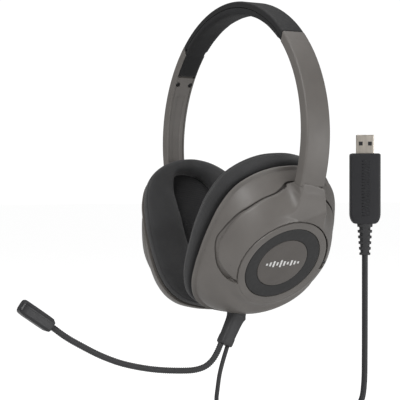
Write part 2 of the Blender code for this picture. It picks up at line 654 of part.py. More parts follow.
def shell_section(deg):
    """Outline of the cup shell in one half plane, from the axis out and back."""
    rim = rim_radius(deg)
    outline = badge_outline(deg, SHELL_FACE)
    turn = deg if deg <= 270 else deg - 360
    if SEAT_FROM <= turn <= SEAT_TO:
        room = STEM_ROOM * max(0.0, 1 - ((turn - STEM_ROOM_ANGLE) / STEM_ROOM_SPREAD) ** 2)
        edge = min(yoke_radius(turn) + SEAT_EDGE_GAP + room, rim - 1.0)
        outline.append((SEAT_IN, shell_height(deg, BOSS_R + 0.2) - SEAT_DROP - 0.6))
        for share in (0.4, 0.8, 1.0):
            radius = lerp(SEAT_IN, edge, share)
            normal_r, normal_out = shell_normal(deg, radius)
            outline.append((radius - normal_r * SEAT_DROP,
                            shell_height(deg, radius) - normal_out * SEAT_DROP))
        outline.append((edge, shell_height(deg, edge)))
    else:
        for share in (0.12, 0.24, 0.36, 0.45, 0.5):
            edge = lerp(BOSS_R, rim, share)
            outline.append((edge, shell_height(deg, edge)))
    for share in (0.4, 0.75, 0.93):
        radius = lerp(edge, rim, share)
        outline.append((radius, shell_height(deg, radius)))
    # rim face, then the smooth hollow inside
    outline += [(rim, 0.0), (rim - 2.4, 0.0), (rim - 4.4, 3.0),
                (lerp(rim - 5.0, 24.5, 0.35), badge_height(deg, 26, -8.5) * 0.42),
                (lerp(rim - 5.5, 24.5, 0.8), badge_height(deg, 26, -8.0) * 0.8),
                (22.0, badge_height(deg, 22, -8.0)), (0.0, badge_height(deg, 0, -8.0))]
    return outline


def cup_shell(side, tag):
    shell = add_piece(f"{tag}_cup_shell", lathe(48, shell_section), TAUPE, side)
    for outer in PIN_HOLE_ENDS:
        cut(shell, rod(tilt_axis_point(outer),
                       tilt_axis_point(math.copysign(PIN_HOLE_INNER, outer)),
                       PIN_HOLE_R, 14), side)


def cup_baffle(side, tag):
    def section(deg):
        return block_outline(21.9, rim_radius(deg) - 5.6, -0.2, 1.4)
    add_piece(f"{tag}_cup_baffle", lathe(40, section), BLACK, side)


def driver(side, tag):
    for part, steps, outline, mat in (("frame", 22, DRIVER_FRAME, BLACK),
                                      ("magnet", 24, DRIVER_MAGNET, STEEL),
                                      ("diaphragm", 22, DRIVER_DIAPHRAGM, FILM)):
        add_piece(f"{tag}_driver_{part}",
                  lathe(steps, lambda deg: outline, DRIVER_CENTRE, swept=False), mat, side)


def cushion_ring(side, tag):
    def section(deg):
        rim = rim_radius(deg)
        return block_outline(max(rim - 16, 22), rim - 1.6, -2.1, -0.5)
    add_piece(f"{tag}_cushion_ring", lathe(36, section), BLACK, side)


def acoustic_screen(side, tag):
    add_piece(f"{tag}_acoustic_screen",
              lathe(28, lambda deg: block_outline(0.0, 21.3, -1.6, -0.9)), FOAM, side)


def ear_cushion(side, tag):
    def section(deg):
        rim = rim_radius(deg)
        outer, inner = rim - 0.4 + CUSHION_PROUD * 0.45, max(rim - 20.5, 20.0)
        low, high = -CUSHION_DEPTH, CUSHION_TOP
        return [(outer - 2.0, high), (outer + 0.9, high - 2.6),
                (outer + 1.5, (high + low) / 2 - 0.6), (outer - 0.4, low + 2.2),
                (outer - 4.6, low + 0.25), ((outer + inner) / 2, low),
                (inner + 4.4, low + 0.5), (inner + 0.7, low + 2.8),
                (inner - 0.3, (high + low) / 2), (inner + 0.4, high - 1.6), (inner + 1.8, high)]
    add_piece(f"{tag}_ear_cushion", lathe(40, section), FOAM, side, smooth=True)


def badge(side, tag):
    for part, stations, mat in (("ring", BADGE_RING, BLACK), ("disc", BADGE_DISC, TAUPE)):
        add_piece(f"{tag}_badge_{part}",
                  lathe(36, lambda deg: badge_outline(deg, stations)), mat, side)


# ---------------------------------------------------------------- boom
BOOT_TOP = Vector((20.18, -16.28, -185.92))
BOOT_TIP = Vector((19.07, -26.59, -206.69))
BOOT_TOP_R, BOOT_TIP_R, BOOT_HOLE_R = 4.9, 4.4, 5.3
BOOM_R = 1.93
# Centre line of the gooseneck from the boot to the microphone: (x, y, z)
BOOM_PATH = ((18.84, -28.78, -205.96), (18.56, -31.46, -211.37), (18.20, -34.92, -216.10),
             (17.69, -39.74, -219.50), (16.97, -46.59, -221.12), (16.04, -55.42, -221.14),
             (14.49, -70.17, -219.84), (13.11, -83.37, -217.55), (11.67, -96.68, -214.02),
             (10.39, -109.08, -209.02), (9.26, -119.88, -203.42), (8.14, -130.58, -197.22),
             (7.20, -139.33, -190.87))
# Gooseneck pieces: (name, first and last of the 61 path points)
BOOM_SEGMENTS = (("root", 0, 18), ("middle", 20, 38), ("tip", 40, 60))

MIC_REAR = Vector((7.08, -139.83, -190.37))
MIC_TIP = Vector((5.20, -158.68, -177.32))
MIC_DIR = (MIC_TIP - MIC_REAR).normalized()
MIC_SIDE = Vector((0.0, 0.0, 1.0)).cross(MIC_DIR).normalized()
MIC_UP = MIC_DIR.cross(MIC_SIDE)
MIC_LENGTH = (MIC_TIP - MIC_REAR).length
MIC_WALL = 1.1
# Housing radius: shares of the length from the rear, and the radius at each
MIC_SHARES = (0.0, 0.05, 0.22, 0.5, 0.8, 0.93, 1.0)
MIC_RADII = (2.6, 3.5, 4.7, 4.9, 4.8, 4.2, 2.6)
CAPSULE_FROM, CAPSULE_TO, CAPSULE_R = 14.0, 19.0, 3.0


def boom_boot():
    """Boot of the boom, and the hole for it in the left shell."""
    direction = (BOOT_TIP - BOOT_TOP).normalized()
    add_piece("boom_boot", rod(BOOT_TOP, BOOT_TIP, BOOT_TOP_R, 24, BOOT_TIP_R), RUBBER)
    cut(bpy.data.objects["left_cup_shell"],
        rod(BOOT_TOP - direction * 0.35, BOOT_TOP + direction * 14, BOOT_HOLE_R, 24))


def gooseneck():
    path = smooth_path(BOOM_PATH, 61)
    for part, first, last in BOOM_SEGMENTS:
        wire(f"gooseneck_{part}", path[first:last + 1:2], BOOM_R, RUBBER)


def mic_housing(name, sign):
    """One half of the housing, the upper one for sign = 1."""
    def face(inset):
        def at(s, t):
            radius = float(np.interp(s, MIC_SHARES, MIC_RADII)) - inset
            along = lerp(inset, MIC_LENGTH - inset, s)
            angle = lerp(math.radians(3), math.radians(177), t)
            spoke = MIC_SIDE * math.cos(angle) + MIC_UP * (sign * math.sin(angle))
            return MIC_REAR + MIC_DIR * along + spoke * radius
        return at
    add_piece(name, slab(9, 8, face(0.0), face(MIC_WALL)), BLACK)


def mic_capsule():
    add_piece("mic_capsule", rod(MIC_REAR + MIC_DIR * CAPSULE_FROM,
                                 MIC_REAR + MIC_DIR * CAPSULE_TO, CAPSULE_R, 18), STEEL)


# ---------------------------------------------------------------- USB-A plug
USB_AXIS = Vector((-5.7, 107.4, 0.0))
USB_UP = Vector((0.0, 0.0, 1.0))
USB_ACROSS = Vector((0.5504, 0.8349, 0.0))
USB_FACING = USB_ACROSS.cross(USB_UP)    # out of its broad front face
USB_TOP, USB_SHOULDER, USB_BOTTOM, USB_TAIL = -73.3, -86.0, -134.2, -155.6   # heights
USB_WIDTH, USB_THICK = 20.8, 9.4
USB_WALL_SIDE, USB_WALL_FACE, USB_WALL_END = 1.6, 1.5, 1.6
GROOVE_COUNT, GROOVE_WIDTH, GROOVE_DEPTH_BOX, GROOVE_HALF = 6, 6.4, 0.9, 1.1
GROOVE_MARGIN = 12                       # from the body's ends
PLUG_WIDTH, PLUG_THICK, PLUG_INNER_WIDTH, PLUG_INNER_THICK = 12.0, 4.5, 11.3, 3.8
WINDOW_OFFSET, WINDOW_WIDTH, WINDOW_LOW, WINDOW_HIGH = 3.05, 2.3, -80.6, -78.3
RELIEF_TOP_R, RELIEF_TAIL_R, RELIEF_BORE_R = 5.7, 4.0, 2.4
RELIEF_CUTS, RELIEF_FIRST, RELIEF_PITCH = 5, 3.4, 3.8


def usb_box(width, thick, low, high, across=0.0, facing=0.0):
    centre = USB_AXIS + USB_ACROSS * across + USB_FACING * facing + USB_UP * ((low + high) / 2)
    return box((width, thick, high - low), place(USB_ACROSS, USB_FACING * -1, USB_UP, centre))


def usb_rod(top, bottom, radius, sides, bottom_radius=None):
    return rod(USB_AXIS + USB_UP * top, USB_AXIS + USB_UP * bottom, radius, sides, bottom_radius)


def usb_body(name, sign):
    half = add_piece(name, usb_box(USB_WIDTH, USB_THICK / 2 - 0.15, USB_BOTTOM, USB_SHOULDER,
                                   facing=sign * (USB_THICK / 4 + 0.08)),
                     BLACK, bevel=1.0, segments=2)
    cut(half, usb_box(USB_WIDTH - 2 * USB_WALL_SIDE, USB_THICK - 2 * USB_WALL_FACE,
                      USB_BOTTOM + USB_WALL_END, USB_SHOULDER - USB_WALL_END))
    # openings for the plug's shell and for the lead
    cut(half, usb_box(12.5, 5.0, USB_SHOULDER - 3, USB_SHOULDER + 2))
    cut(half, usb_rod(USB_BOTTOM + 3, USB_BOTTOM - 2, 2.5, 16))
    if sign > 0:
        for i in range(GROOVE_COUNT):
            z = lerp(USB_SHOULDER - GROOVE_MARGIN, USB_BOTTOM + GROOVE_MARGIN,
                     i / (GROOVE_COUNT - 1))
            cut(half, usb_box(GROOVE_WIDTH, GROOVE_DEPTH_BOX, z - GROOVE_HALF, z + GROOVE_HALF,
                              facing=USB_THICK / 2))


def usb_shell():
    shell = add_piece("usb_shell",
                      usb_box(PLUG_WIDTH, PLUG_THICK, USB_SHOULDER - 2.6, USB_TOP), PLATED)
    cut(shell, usb_box(PLUG_INNER_WIDTH, PLUG_INNER_THICK, USB_SHOULDER - 4, USB_TOP + 2))
    for across in (-WINDOW_OFFSET, WINDOW_OFFSET):
        cut(shell, usb_box(WINDOW_WIDTH, 8.0, WINDOW_LOW, WINDOW_HIGH, across))


def usb_inside():
    add_piece("usb_tongue", usb_box(10.9, 1.6, USB_SHOULDER - 3.4, USB_TOP - 0.8, facing=-0.9),
              BLACK)
    add_piece("usb_board", usb_box(15.0, 1.2, USB_BOTTOM + 6, USB_SHOULDER - 4.2), BOARD)


def usb_strain_relief():
    relief = add_piece("usb_strain_relief",
                       usb_rod(USB_BOTTOM - 0.3, USB_TAIL, RELIEF_TOP_R, 20, RELIEF_TAIL_R),
                       RUBBER)
    cut(relief, usb_rod(USB_BOTTOM + 1, USB_TAIL - 1, RELIEF_BORE_R, 16))
    # cuts from both edges that follow the taper
    for i in range(RELIEF_CUTS):
        z = USB_BOTTOM - RELIEF_FIRST - RELIEF_PITCH * i
        for sign in (-1, 1):
            cut(relief, usb_box(4.0, 14.0, z - 0.85, z + 0.85, sign * (6.1 - 0.3 * i)))


# ---------------------------------------------------------------- lead
CABLE_R = 1.35            # lead at the ear cup
CABLE_R_PLUG = 2.05       # and at the plug
THICKEN_FROM, THICKEN_OVER = 10, 22   # path points where the lead grows thicker
# Centre line of the lead from the boot to the plug: (x, y, z)
LEAD_PATH = ((19.30, -24.38, -208.22), (18.98, -27.43, -217.14), (18.75, -29.65, -225.03),
             (18.60, -31.11, -234.18), (18.50, -31.78, -240.32), (18.00, -30.68, -250.02),
             (16.88, -25.23, -260.02), (14.27, -11.99, -268.01), (9.85, 11.76, -272.51),
             (4.43, 44.51, -273.01), (-0.18, 74.25, -270.00), (-3.20, 94.00, -263.50),
             (-4.90, 103.60, -255.00), (-5.50, 106.60, -244.00), (-5.70, 107.30, -225.00),
             (-5.70, 107.40, -190.00), (-5.70, 107.40, -160.00), (-5.70, 107.40, -137.00))


def lead():
    # radius 1 here, so that each point's own radius is in millimetres
    cable = wire("cable", smooth_path(LEAD_PATH, 56), 1.0, RUBBER)
    for i, point in enumerate(cable.data.splines[0].points):
        point.radius = lerp(CABLE_R, CABLE_R_PLUG, clamp((i - THICKEN_FROM) / THICKEN_OVER))


# ---------------------------------------------------------------- joints
# An empty stands on the axis of each joint and carries the pieces that move with it.
# Places are for the left side; the right side is the mirror image.
FLEX_PIVOT = (52.71, -0.47, -17.16)      # where the arm bends away from the crown
SLIDE_PIVOT = (64.0, -1.5, ARM_END_Z)    # where the strip enters the arm
TILT_PIVOT = tilt_axis_point(0.0)        # on the line through both yoke lobes
BOOM_PIVOT = (15.44, -61.09, -220.76)
MIC_PIVOT = (11.17, -101.52, -212.26)

FLEX_PARTS = ("arm", "arm_plate", "spring_end", "arm_screw_front", "arm_screw_rear")
SLIDE_PARTS = ("yoke", "slider", "pivot_pin_front", "pivot_pin_rear")
TILT_PARTS = ("cup_shell", "cup_baffle", "driver_frame", "driver_magnet", "driver_diaphragm",
              "cushion_ring", "acoustic_screen", "ear_cushion", "badge_ring", "badge_disc")
LEAD_PARTS = ("boom_boot", "gooseneck_root", "cable", "usb_strain_relief", "usb_body_front",
              "usb_body_back", "usb_shell", "usb_tongue", "usb_board")
MIC_PARTS = ("gooseneck_tip", "mic_housing_upper", "mic_housing_lower", "mic_capsule")


def hang(child, parent):
    """Parents the child without moving it; joints are never turned here."""
    child.parent = parent
    child.matrix_parent_inverse = Matrix.Translation(-parent.location)


def carry(name, pivot, members, under=None):
    joint = bpy.data.objects.new(name, None)
    joint.location = Vector(pivot) * MM
    joint.empty_display_size = 0.01
    MODEL.objects.link(joint)
    if under:
        hang(joint, under)
    for member in members:
        hang(bpy.data.objects[member], joint)
    return joint


def side_joints(side, tag):
    """Chain of flex, slide and tilt axes on one side; returns the tilt axis."""
    joint = None
    for name, pivot, parts in (("flex", FLEX_PIVOT, FLEX_PARTS),
                               ("slide", SLIDE_PIVOT, SLIDE_PARTS),
                               ("tilt", TILT_PIVOT, TILT_PARTS)):
        joint = carry(f"{tag}_{name}_axis", (pivot[0] * side, pivot[1], pivot[2]),
                      [f"{tag}_{part}" for part in parts], joint)
    return joint


# ---------------------------------------------------------------- build
SIDES = ((1, "left"), (-1, "right"))

crown_cover()
spring_band()
crown_pad()

for SIDE, TAG in SIDES:
    arm(SIDE, TAG)
    arm_screws(arm_plate(SIDE, TAG), SIDE, TAG)
    spring_end(SIDE, TAG)
    side_yoke = yoke(SIDE, TAG)
    slider(SIDE, TAG)
    pivot_pins(side_yoke, SIDE, TAG)
    for build in (cup_shell, cup_baffle, driver, cushion_ring, acoustic_screen, ear_cushion,
                  badge):
        build(SIDE, TAG)

boom_boot()
gooseneck()
mic_housing("mic_housing_upper", 1)
mic_housing("mic_housing_lower", -1)
mic_capsule()

usb_body("usb_body_front", 1)
usb_body("usb_body_back", -1)
usb_shell()
usb_inside()
usb_strain_relief()
lead()

tilt_joints = {TAG: side_joints(SIDE, TAG) for SIDE, TAG in SIDES}
carry("lead_carrier", BOOT_TOP, LEAD_PARTS, tilt_joints["left"])
boom_joint = carry("boom_axis", BOOM_PIVOT, ["gooseneck_middle"], tilt_joints["left"])
carry("mic_axis", MIC_PIVOT, MIC_PARTS, boom_joint)
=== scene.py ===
"""Lengths are millimetres until the meshes are made. +Z is up, the wearer faces -Y and the
wearer's left ear is at +X. Three coordinate systems carry the parts:
  band   run along the headband from the crown (+ to the left), y, depth in from its outer face
  cup    rear, rise and out from the middle of the left cup's rim plane (right cup: mirrored)
  polar  the cup's plane by angle and radius; 0 degrees is rear, 90 is up
"""
import json
import math

import bmesh
import bpy
import numpy as np
from mathutils import Matrix, Vector

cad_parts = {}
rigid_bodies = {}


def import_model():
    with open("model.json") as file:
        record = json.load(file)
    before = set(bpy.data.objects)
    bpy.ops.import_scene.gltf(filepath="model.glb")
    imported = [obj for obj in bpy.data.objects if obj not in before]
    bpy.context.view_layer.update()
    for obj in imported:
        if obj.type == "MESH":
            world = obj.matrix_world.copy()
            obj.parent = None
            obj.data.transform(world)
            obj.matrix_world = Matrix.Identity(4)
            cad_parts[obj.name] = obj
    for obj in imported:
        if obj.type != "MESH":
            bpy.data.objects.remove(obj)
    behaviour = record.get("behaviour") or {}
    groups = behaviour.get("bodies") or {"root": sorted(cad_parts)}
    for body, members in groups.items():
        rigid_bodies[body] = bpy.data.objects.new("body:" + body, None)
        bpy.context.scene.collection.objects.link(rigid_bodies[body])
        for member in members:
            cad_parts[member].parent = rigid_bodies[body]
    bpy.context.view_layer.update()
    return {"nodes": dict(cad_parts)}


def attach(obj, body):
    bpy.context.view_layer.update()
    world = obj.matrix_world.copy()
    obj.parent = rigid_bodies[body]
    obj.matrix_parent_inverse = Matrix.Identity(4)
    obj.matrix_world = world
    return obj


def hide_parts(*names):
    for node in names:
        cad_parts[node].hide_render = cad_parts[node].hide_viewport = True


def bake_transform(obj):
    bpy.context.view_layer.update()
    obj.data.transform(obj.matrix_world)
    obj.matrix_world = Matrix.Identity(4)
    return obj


for old in list(bpy.data.objects):
    bpy.data.objects.remove(old, do_unlink=True)
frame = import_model()
MM = 0.001
SIDES = ((1, "left"), (-1, "right"))
scene = bpy.context.scene

# ------------------------------------------------------------------ driving sizes
# Band: a superellipse over the crown, then arms that curve slowly inwards
CROWN_Z = 8.82
HALF_SPAN = 82.42
BEND_DROP = 87.72         # height of the superellipse
BEND_POWER = 1.9816
ARM_TUCK = 0.00557        # inward curve of the arms, per mm of drop squared
TOP_WIDTH, END_WIDTH = 16.33, 15.69
TOP_THICK, END_THICK = 6.0, 7.55
TWIST = 16.75             # degrees, reached at TAPER_DROP
RAKE = -0.0203            # forward lean per mm of drop
TAPER_DROP = 145.9        # drop over which width, thickness and twist change
ARM_END_Z = -109.3
COVER_END, PAD_END = 61.0, 83.2     # runs at which the cover and the pad end
ARM_START = COVER_END + 0.85
PLATE_START, CHANNEL_START = PAD_END + 1.0, PAD_END + 12.6
SCREW_RUN = PAD_END + 6.6
SLANT = 0.55              # slope of the joint between cover and arm

# Cup
CUP_TILT, CUP_TOE = math.radians(27.6), math.radians(4.83)
CUP_CENTRE = np.array([36.0, -10.36, -142.0])
BADGE_OUT = 29.3          # badge plane over the rim plane, at the middle
BADGE_PITCH, BADGE_YAW = 9.2, -4.2  # degrees
BOSS_R, RING_R, DISC_R = 30.4, 25.4, 17.2
RIM_LIP = 2.0
CUSHION_DEPTH = 12.6

# Left cup rim: angle, radius
RIM = (
    (0, 50.3), (20, 51.0), (40, 54.0), (60, 54.6), (78, 52.8), (89, 51.3), (101, 50.2),
    (115, 48.8), (127, 47.5), (144, 44.1), (164, 41.2), (185, 42.0), (201, 45.7),
    (216, 51.2), (226, 54.0), (236, 54.4), (250, 52.4), (270, 51.0), (290, 50.4),
    (315, 50.6), (340, 50.2))
# Ear opening of the cushion: angle, radius
OPENING = (
    (0, 19.5), (20, 20.5), (38, 26.0), (50, 33.5), (60, 39.5), (72, 43.4), (90, 43.6),
    (101, 42.6), (109, 39.0), (118, 32.0), (131, 24.5), (145, 20.2), (158, 18.0), (180, 17.6),
    (199, 18.6), (215, 21.0), (232, 26.0), (247, 32.5), (258, 35.6), (270, 36.0), (283, 35.4),
    (297, 31.0), (312, 25.0), (328, 21.5), (345, 19.8))
# Outer edge of the yoke: angle, radius
YOKE_EDGE = (
    (-9.5, 33.0), (-8.5, 36.5), (-7, 39.6), (-4, 42.0), (1, 43.3), (8, 44.0), (20, 44.7),
    (35, 45.3), (50, 45.0), (60, 44.6), (65, 44.8), (68, 46.2), (70, 48.8), (72, 52.4),
    (80, 52.4), (88.0, 52.3), (88.6, 51.0), (89.0, 47.0), (90.6, 44.9), (94, 43.3),
    (98.5, 42.6), (107, 42.15), (116, 41.7), (136, 40.1), (150, 38.6), (162, 37.6),
    (176, 37.4), (184, 37.2), (189, 36.6), (193, 35.4), (197, 33.6), (200, 32.4))
YOKE_INNER_R = 31.0
# Front and rear edges of the ridge that carries the arm out on to the yoke: rise, rear
RIDGE_FRONT = (
    (20, -15.5), (24, -13.5), (28.9, -10.8), (31.5, -8.0), (34.5, -4.9), (38, -2.2),
    (42, -0.6), (47, 0.1), (51, 0.2), (56, 0.2))
RIDGE_REAR = (
    (20, 19.8), (24, 19.6), (28, 19.2), (31, 18.8), (36, 18.1), (42, 17.2), (47, 16.4),
    (51.9, 15.6), (56, 15.6))
# Outer edge of the recess in the shell that takes the yoke: angle, radius
RECESS_EDGE = (
    (-12.5, 31.2), (-11.5, 36.0), (-10, 39.5), (-7.5, 42.2), (-4, 43.6), (1, 44.6), (8, 45.0),
    (20, 45.6), (35, 46.2), (52, 45.8), (66, 45.3), (90, 44.8), (98, 43.4), (107, 42.75),
    (116, 42.2), (136, 40.7), (150, 39.2), (162, 38.2), (176, 38.0), (184, 37.9), (191, 37.8),
    (197, 36.8), (202, 34.6), (206, 31.2))
RECESS_INNER_R = 31.2
RECESS_DEPTH = 5.0

# Boom, from the left cup forwards
BOOT_TOP = np.array([20.18, -16.28, -185.92])
BOOT_TIP = np.array([19.07, -26.59, -206.69])
MIC_REAR = np.array([7.08, -139.83, -190.37])
MIC_TIP = np.array([5.2, -158.68, -177.32])
# Centre line of the boom: x, y, z
BOOM = (
    (18.84, -28.78, -205.96), (18.56, -31.46, -211.37), (18.20, -34.92, -216.10),
    (17.69, -39.74, -219.50), (16.97, -46.59, -221.12), (16.04, -55.42, -221.14),
    (14.49, -70.17, -219.84), (13.11, -83.37, -217.55), (11.67, -96.68, -214.02),
    (10.39, -109.08, -209.02), (9.26, -119.88, -203.42), (8.14, -130.58, -197.22),
    (7.20, -139.33, -190.87))
# Centre line of the lead, from the boot to the plug: x, y, z
LEAD = (
    (19.30, -24.38, -208.22), (18.98, -27.43, -217.14), (18.75, -29.65, -225.03),
    (18.60, -31.11, -234.18), (18.50, -31.78, -240.32), (18.00, -30.68, -250.02),
    (16.88, -25.23, -260.02), (14.27, -11.99, -268.01), (9.85, 11.76, -272.51),
    (4.43, 44.51, -273.01), (-0.18, 74.25, -270.00), (-3.20, 94.00, -263.50),
    (-4.90, 103.60, -255.00), (-5.50, 106.60, -244.00), (-5.70, 107.30, -225.00),
    (-5.70, 107.40, -190.00), (-5.70, 107.40, -160.00), (-5.70, 107.40, -137.00))

# Plug, standing upright
PLUG_AT = np.array([-5.7, 107.4, 0.0])
# Its axes: up, across the broad face, out of the broad "front" face
PLUG_AXES = np.array([[0.0, 0.0, 1.0], [0.5504, 0.8349, 0.0], [0.8349, -0.5504, 0.0]])
PLUG_WIDTH, PLUG_THICK = 20.8, 9.4
PLUG_TOP, PLUG_BASE = -86.0, -134.2


# ------------------------------------------------------------------ curves
def unit(vector):
    return vector / np.linalg.norm(vector)


def smooth01(share):
    share = np.clip(share, 0, 1)
    return share * share * (3 - 2 * share)


def hump(value, centre, half):
    """Parabola of height 1 over centre - half to centre + half, 0 outside."""
    return np.maximum(0.0, 1 - ((value - centre) / half) ** 2)


def signed_power(value, power):
    return np.sign(value) * np.abs(value) ** power


def circle(count):
    return np.linspace(0, 2 * math.pi, count, endpoint=False)


def hermite(share, span, start, end, start_slope, end_slope):
    return ((2 * share**3 - 3 * share**2 + 1) * start
            + (share**3 - 2 * share**2 + share) * span * start_slope
            + (-2 * share**3 + 3 * share**2) * end
            + (share**3 - share**2) * span * end_slope)


def curve(table, at):
    """Monotone cubic reading of a table of pairs."""
    keys, values = np.array(table, float).T
    step = np.diff(values) / np.diff(keys)
    before, after = step[:-1], step[1:]
    mean = np.where(before * after > 0, 2 * before * after / (before + after + 1e-12), 0.0)
    slope = np.r_[step[0], mean, step[-1]]
    at = np.clip(np.asarray(at, float), keys[0], keys[-1])
    i = np.clip(np.searchsorted(keys, at, side="right") - 1, 0, len(keys) - 2)
    span = keys[i + 1] - keys[i]
    return hermite((at - keys[i]) / span, span, values[i], values[i + 1], slope[i], slope[i + 1])


def rim_radius(angle):
    """Closed cubic reading of the rim."""
    keys, radii = np.array(RIM, float).T
    keys, radii = np.r_[keys - 360, keys, keys + 360], np.r_[radii, radii, radii]
    angle = np.mod(np.asarray(angle, float), 360.0)
    i = np.searchsorted(keys, angle, side="right") - 1
    span = keys[i + 1] - keys[i]
    start_slope = (radii[i + 1] - radii[i - 1]) / (keys[i + 1] - keys[i - 1])
    end_slope = (radii[i + 2] - radii[i]) / (keys[i + 2] - keys[i])
    share = (angle - keys[i]) / span
    return hermite(share, span, radii[i], radii[i + 1], start_slope, end_slope)


def smooth_path(points, count):
    """Evenly spaced points on a centripetal spline through the given ones, and its length."""
    points = np.array(points, float)
    keys = np.r_[0, np.cumsum(np.linalg.norm(np.diff(points, axis=0), axis=1) ** 0.5)]
    at = np.linspace(0, keys[-1], 1600)
    slope = np.zeros_like(points)
    slope[1:-1] = (points[2:] - points[:-2]) / (keys[2:] - keys[:-2])[:, None]
    slope[0] = (points[1] - points[0]) / (keys[1] - keys[0])
    slope[-1] = (points[-1] - points[-2]) / (keys[-1] - keys[-2])
    i = np.clip(np.searchsorted(keys, at, side="right") - 1, 0, len(points) - 2)
    span = (keys[i + 1] - keys[i])[:, None]
    share = (at - keys[i])[:, None] / span
    dense = hermite(share, span, points[i], points[i + 1], slope[i], slope[i + 1])
    length = np.r_[0, np.cumsum(np.linalg.norm(np.diff(dense, axis=0), axis=1))]
    want = np.linspace(0, length[-1], count)
    return np.stack([np.interp(want, length, dense[:, c]) for c in range(3)], 1), length[-1]


# ------------------------------------------------------------------ band coordinates
def band_path():
    """Run, x and z along the left half of the band, carried on straight past the arm's end."""
    angle = np.linspace(0, math.pi / 2, 900)
    bend_z = CROWN_Z - BEND_DROP
    x = HALF_SPAN * np.sin(angle) ** (2 / BEND_POWER)
    z = bend_z + BEND_DROP * np.cos(angle) ** (2 / BEND_POWER)
    arm_z = np.linspace(bend_z - 0.5, ARM_END_Z - 2.0, 90)
    x, z = np.r_[x, HALF_SPAN - ARM_TUCK * (bend_z - arm_z) ** 2], np.r_[z, arm_z]
    end = unit(np.array([x[-1] - x[-2], z[-1] - z[-2]]))
    beyond = np.arange(1, 31)
    x, z = np.r_[x, x[-1] + beyond * end[0]], np.r_[z, z[-1] + beyond * end[1]]
    return np.r_[0, np.cumsum(np.hypot(np.diff(x), np.diff(z)))], x, z


BAND_RUN, BAND_X, BAND_Z = band_path()
ARM_END = float(np.interp(-ARM_END_Z, -BAND_Z, BAND_RUN))


def band_xz(run):
    return np.interp(run, BAND_RUN, BAND_X), np.interp(run, BAND_RUN, BAND_Z)


def taper(run):
    return np.clip((CROWN_Z - band_xz(np.abs(run))[1]) / TAPER_DROP, 0, 1.2)


def band_width(run):
    return float(TOP_WIDTH + (END_WIDTH - TOP_WIDTH) * taper(run))


def band_thick(run):
    return float(TOP_THICK + (END_THICK - TOP_THICK) * taper(run))


def band(run, y, depth):
    """Point at a run, y and depth of the band."""
    run, y, depth = np.broadcast_arrays(np.asarray(run, float), y, depth)
    along = np.abs(run)
    x, z = band_xz(along)
    x_before, z_before = band_xz(np.maximum(along - 0.5, 0))
    x_after, z_after = band_xz(along + 0.5)
    tangent_x = x_after - x_before
    tangent_z = (z_after - z_before) * np.clip(along / 0.5, 0, 1)   # level at the crown
    length = np.hypot(tangent_x, tangent_z)
    normal_x, normal_z = -tangent_z / length, tangent_x / length
    twist = np.radians(TWIST) * taper(run)
    across = x - normal_x * depth + y * np.sin(twist)
    return np.stack([np.where(run < 0, -1.0, 1.0) * across,
                     y * np.cos(twist) + RAKE * (CROWN_Z - z), z - normal_z * depth], -1)


# ------------------------------------------------------------------ cup coordinates
_level = np.array([math.cos(CUP_TOE), -math.sin(CUP_TOE), 0.0])
CUP_REAR = np.array([math.sin(CUP_TOE), math.cos(CUP_TOE), 0.0])
CUP_OUT = _level * math.cos(CUP_TILT) - np.array([0, 0, math.sin(CUP_TILT)])
CUP_RISE = _level * math.sin(CUP_TILT) + np.array([0, 0, math.cos(CUP_TILT)])
SWEPT_OUT = CUP_OUT + np.array([-0.2307, 0.1521, -0.002])   # axis of shell and yoke


def cup(rear, rise, out):
    """Point of the left cup; outside the rim plane it follows the swept axis."""
    rear, rise, out = np.broadcast_arrays(np.asarray(rear, float), rise, out)
    out = out[..., None]
    return (CUP_CENTRE + rear[..., None] * CUP_REAR + rise[..., None] * CUP_RISE
            + out * np.where(out > 0, SWEPT_OUT, CUP_OUT))


def polar(angle, radius, out):
    angle = np.radians(angle)
    return cup(radius * np.cos(angle), radius * np.sin(angle), out)


def upper_angle(angle):
    """The same angle within -90 to 270, so that the yoke's span has no break."""
    angle = np.mod(angle, 360)
    return np.where(angle > 270, angle - 360, angle)


def boss_plane(rear, rise):
    return (BADGE_OUT + rise * math.tan(math.radians(BADGE_PITCH))
            + rear * math.tan(math.radians(BADGE_YAW)))


def badge_face(angle, radius, lift=0.0):
    angle = np.radians(angle)
    return boss_plane(radius * np.cos(angle), radius * np.sin(angle)) + lift


def dome(angle, radius):
    """Outer face of the shell, over the rim plane."""
    top = badge_face(angle, BOSS_R)
    edge = rim_radius(angle) - 2.2
    share = np.clip((radius - BOSS_R) / (edge - BOSS_R), 0, 1)
    dent = hump(upper_angle(angle), 74.0, 36.0) ** 2        # under the arm
    low = hump(np.mod(angle, 360), 262.0, 66.0) ** 0.7      # fuller at the bottom
    aft = hump(np.mod(np.asarray(angle, float) + 180, 360) - 180, 31.0, 37.0)
    power = 1.34 + 0.34 * low - 0.15 * aft
    valley = 2.3 * low * np.exp(-((radius - BOSS_R - 4.6) / 3.2) ** 2)
    return (RIM_LIP + (top - RIM_LIP) * (1 - share**power) ** (1 / power)
            - 5.0 * dent * np.sin(math.pi * share**1.5) - valley)


# ------------------------------------------------------------------ mesh helpers
def new_object(name, mesh):
    part = bpy.data.objects.new(name, mesh)
    scene.collection.objects.link(part)
    return part


def from_bmesh(name, work, material=None):
    mesh = bpy.data.meshes.new(name)
    work.to_mesh(mesh)
    work.free()
    if material:
        mesh.materials.append(material)
    return new_object(name, mesh)


def read_points(mesh):
    points = np.empty(len(mesh.vertices) * 3)
    mesh.vertices.foreach_get("co", points)
    return points.reshape(-1, 3)


def evaluated_mesh(part):
    graph = bpy.context.evaluated_depsgraph_get()
    return bpy.data.meshes.new_from_object(part.evaluated_get(graph))


def mirrored(points, side):
    return points * np.array([side, 1.0, 1.0])


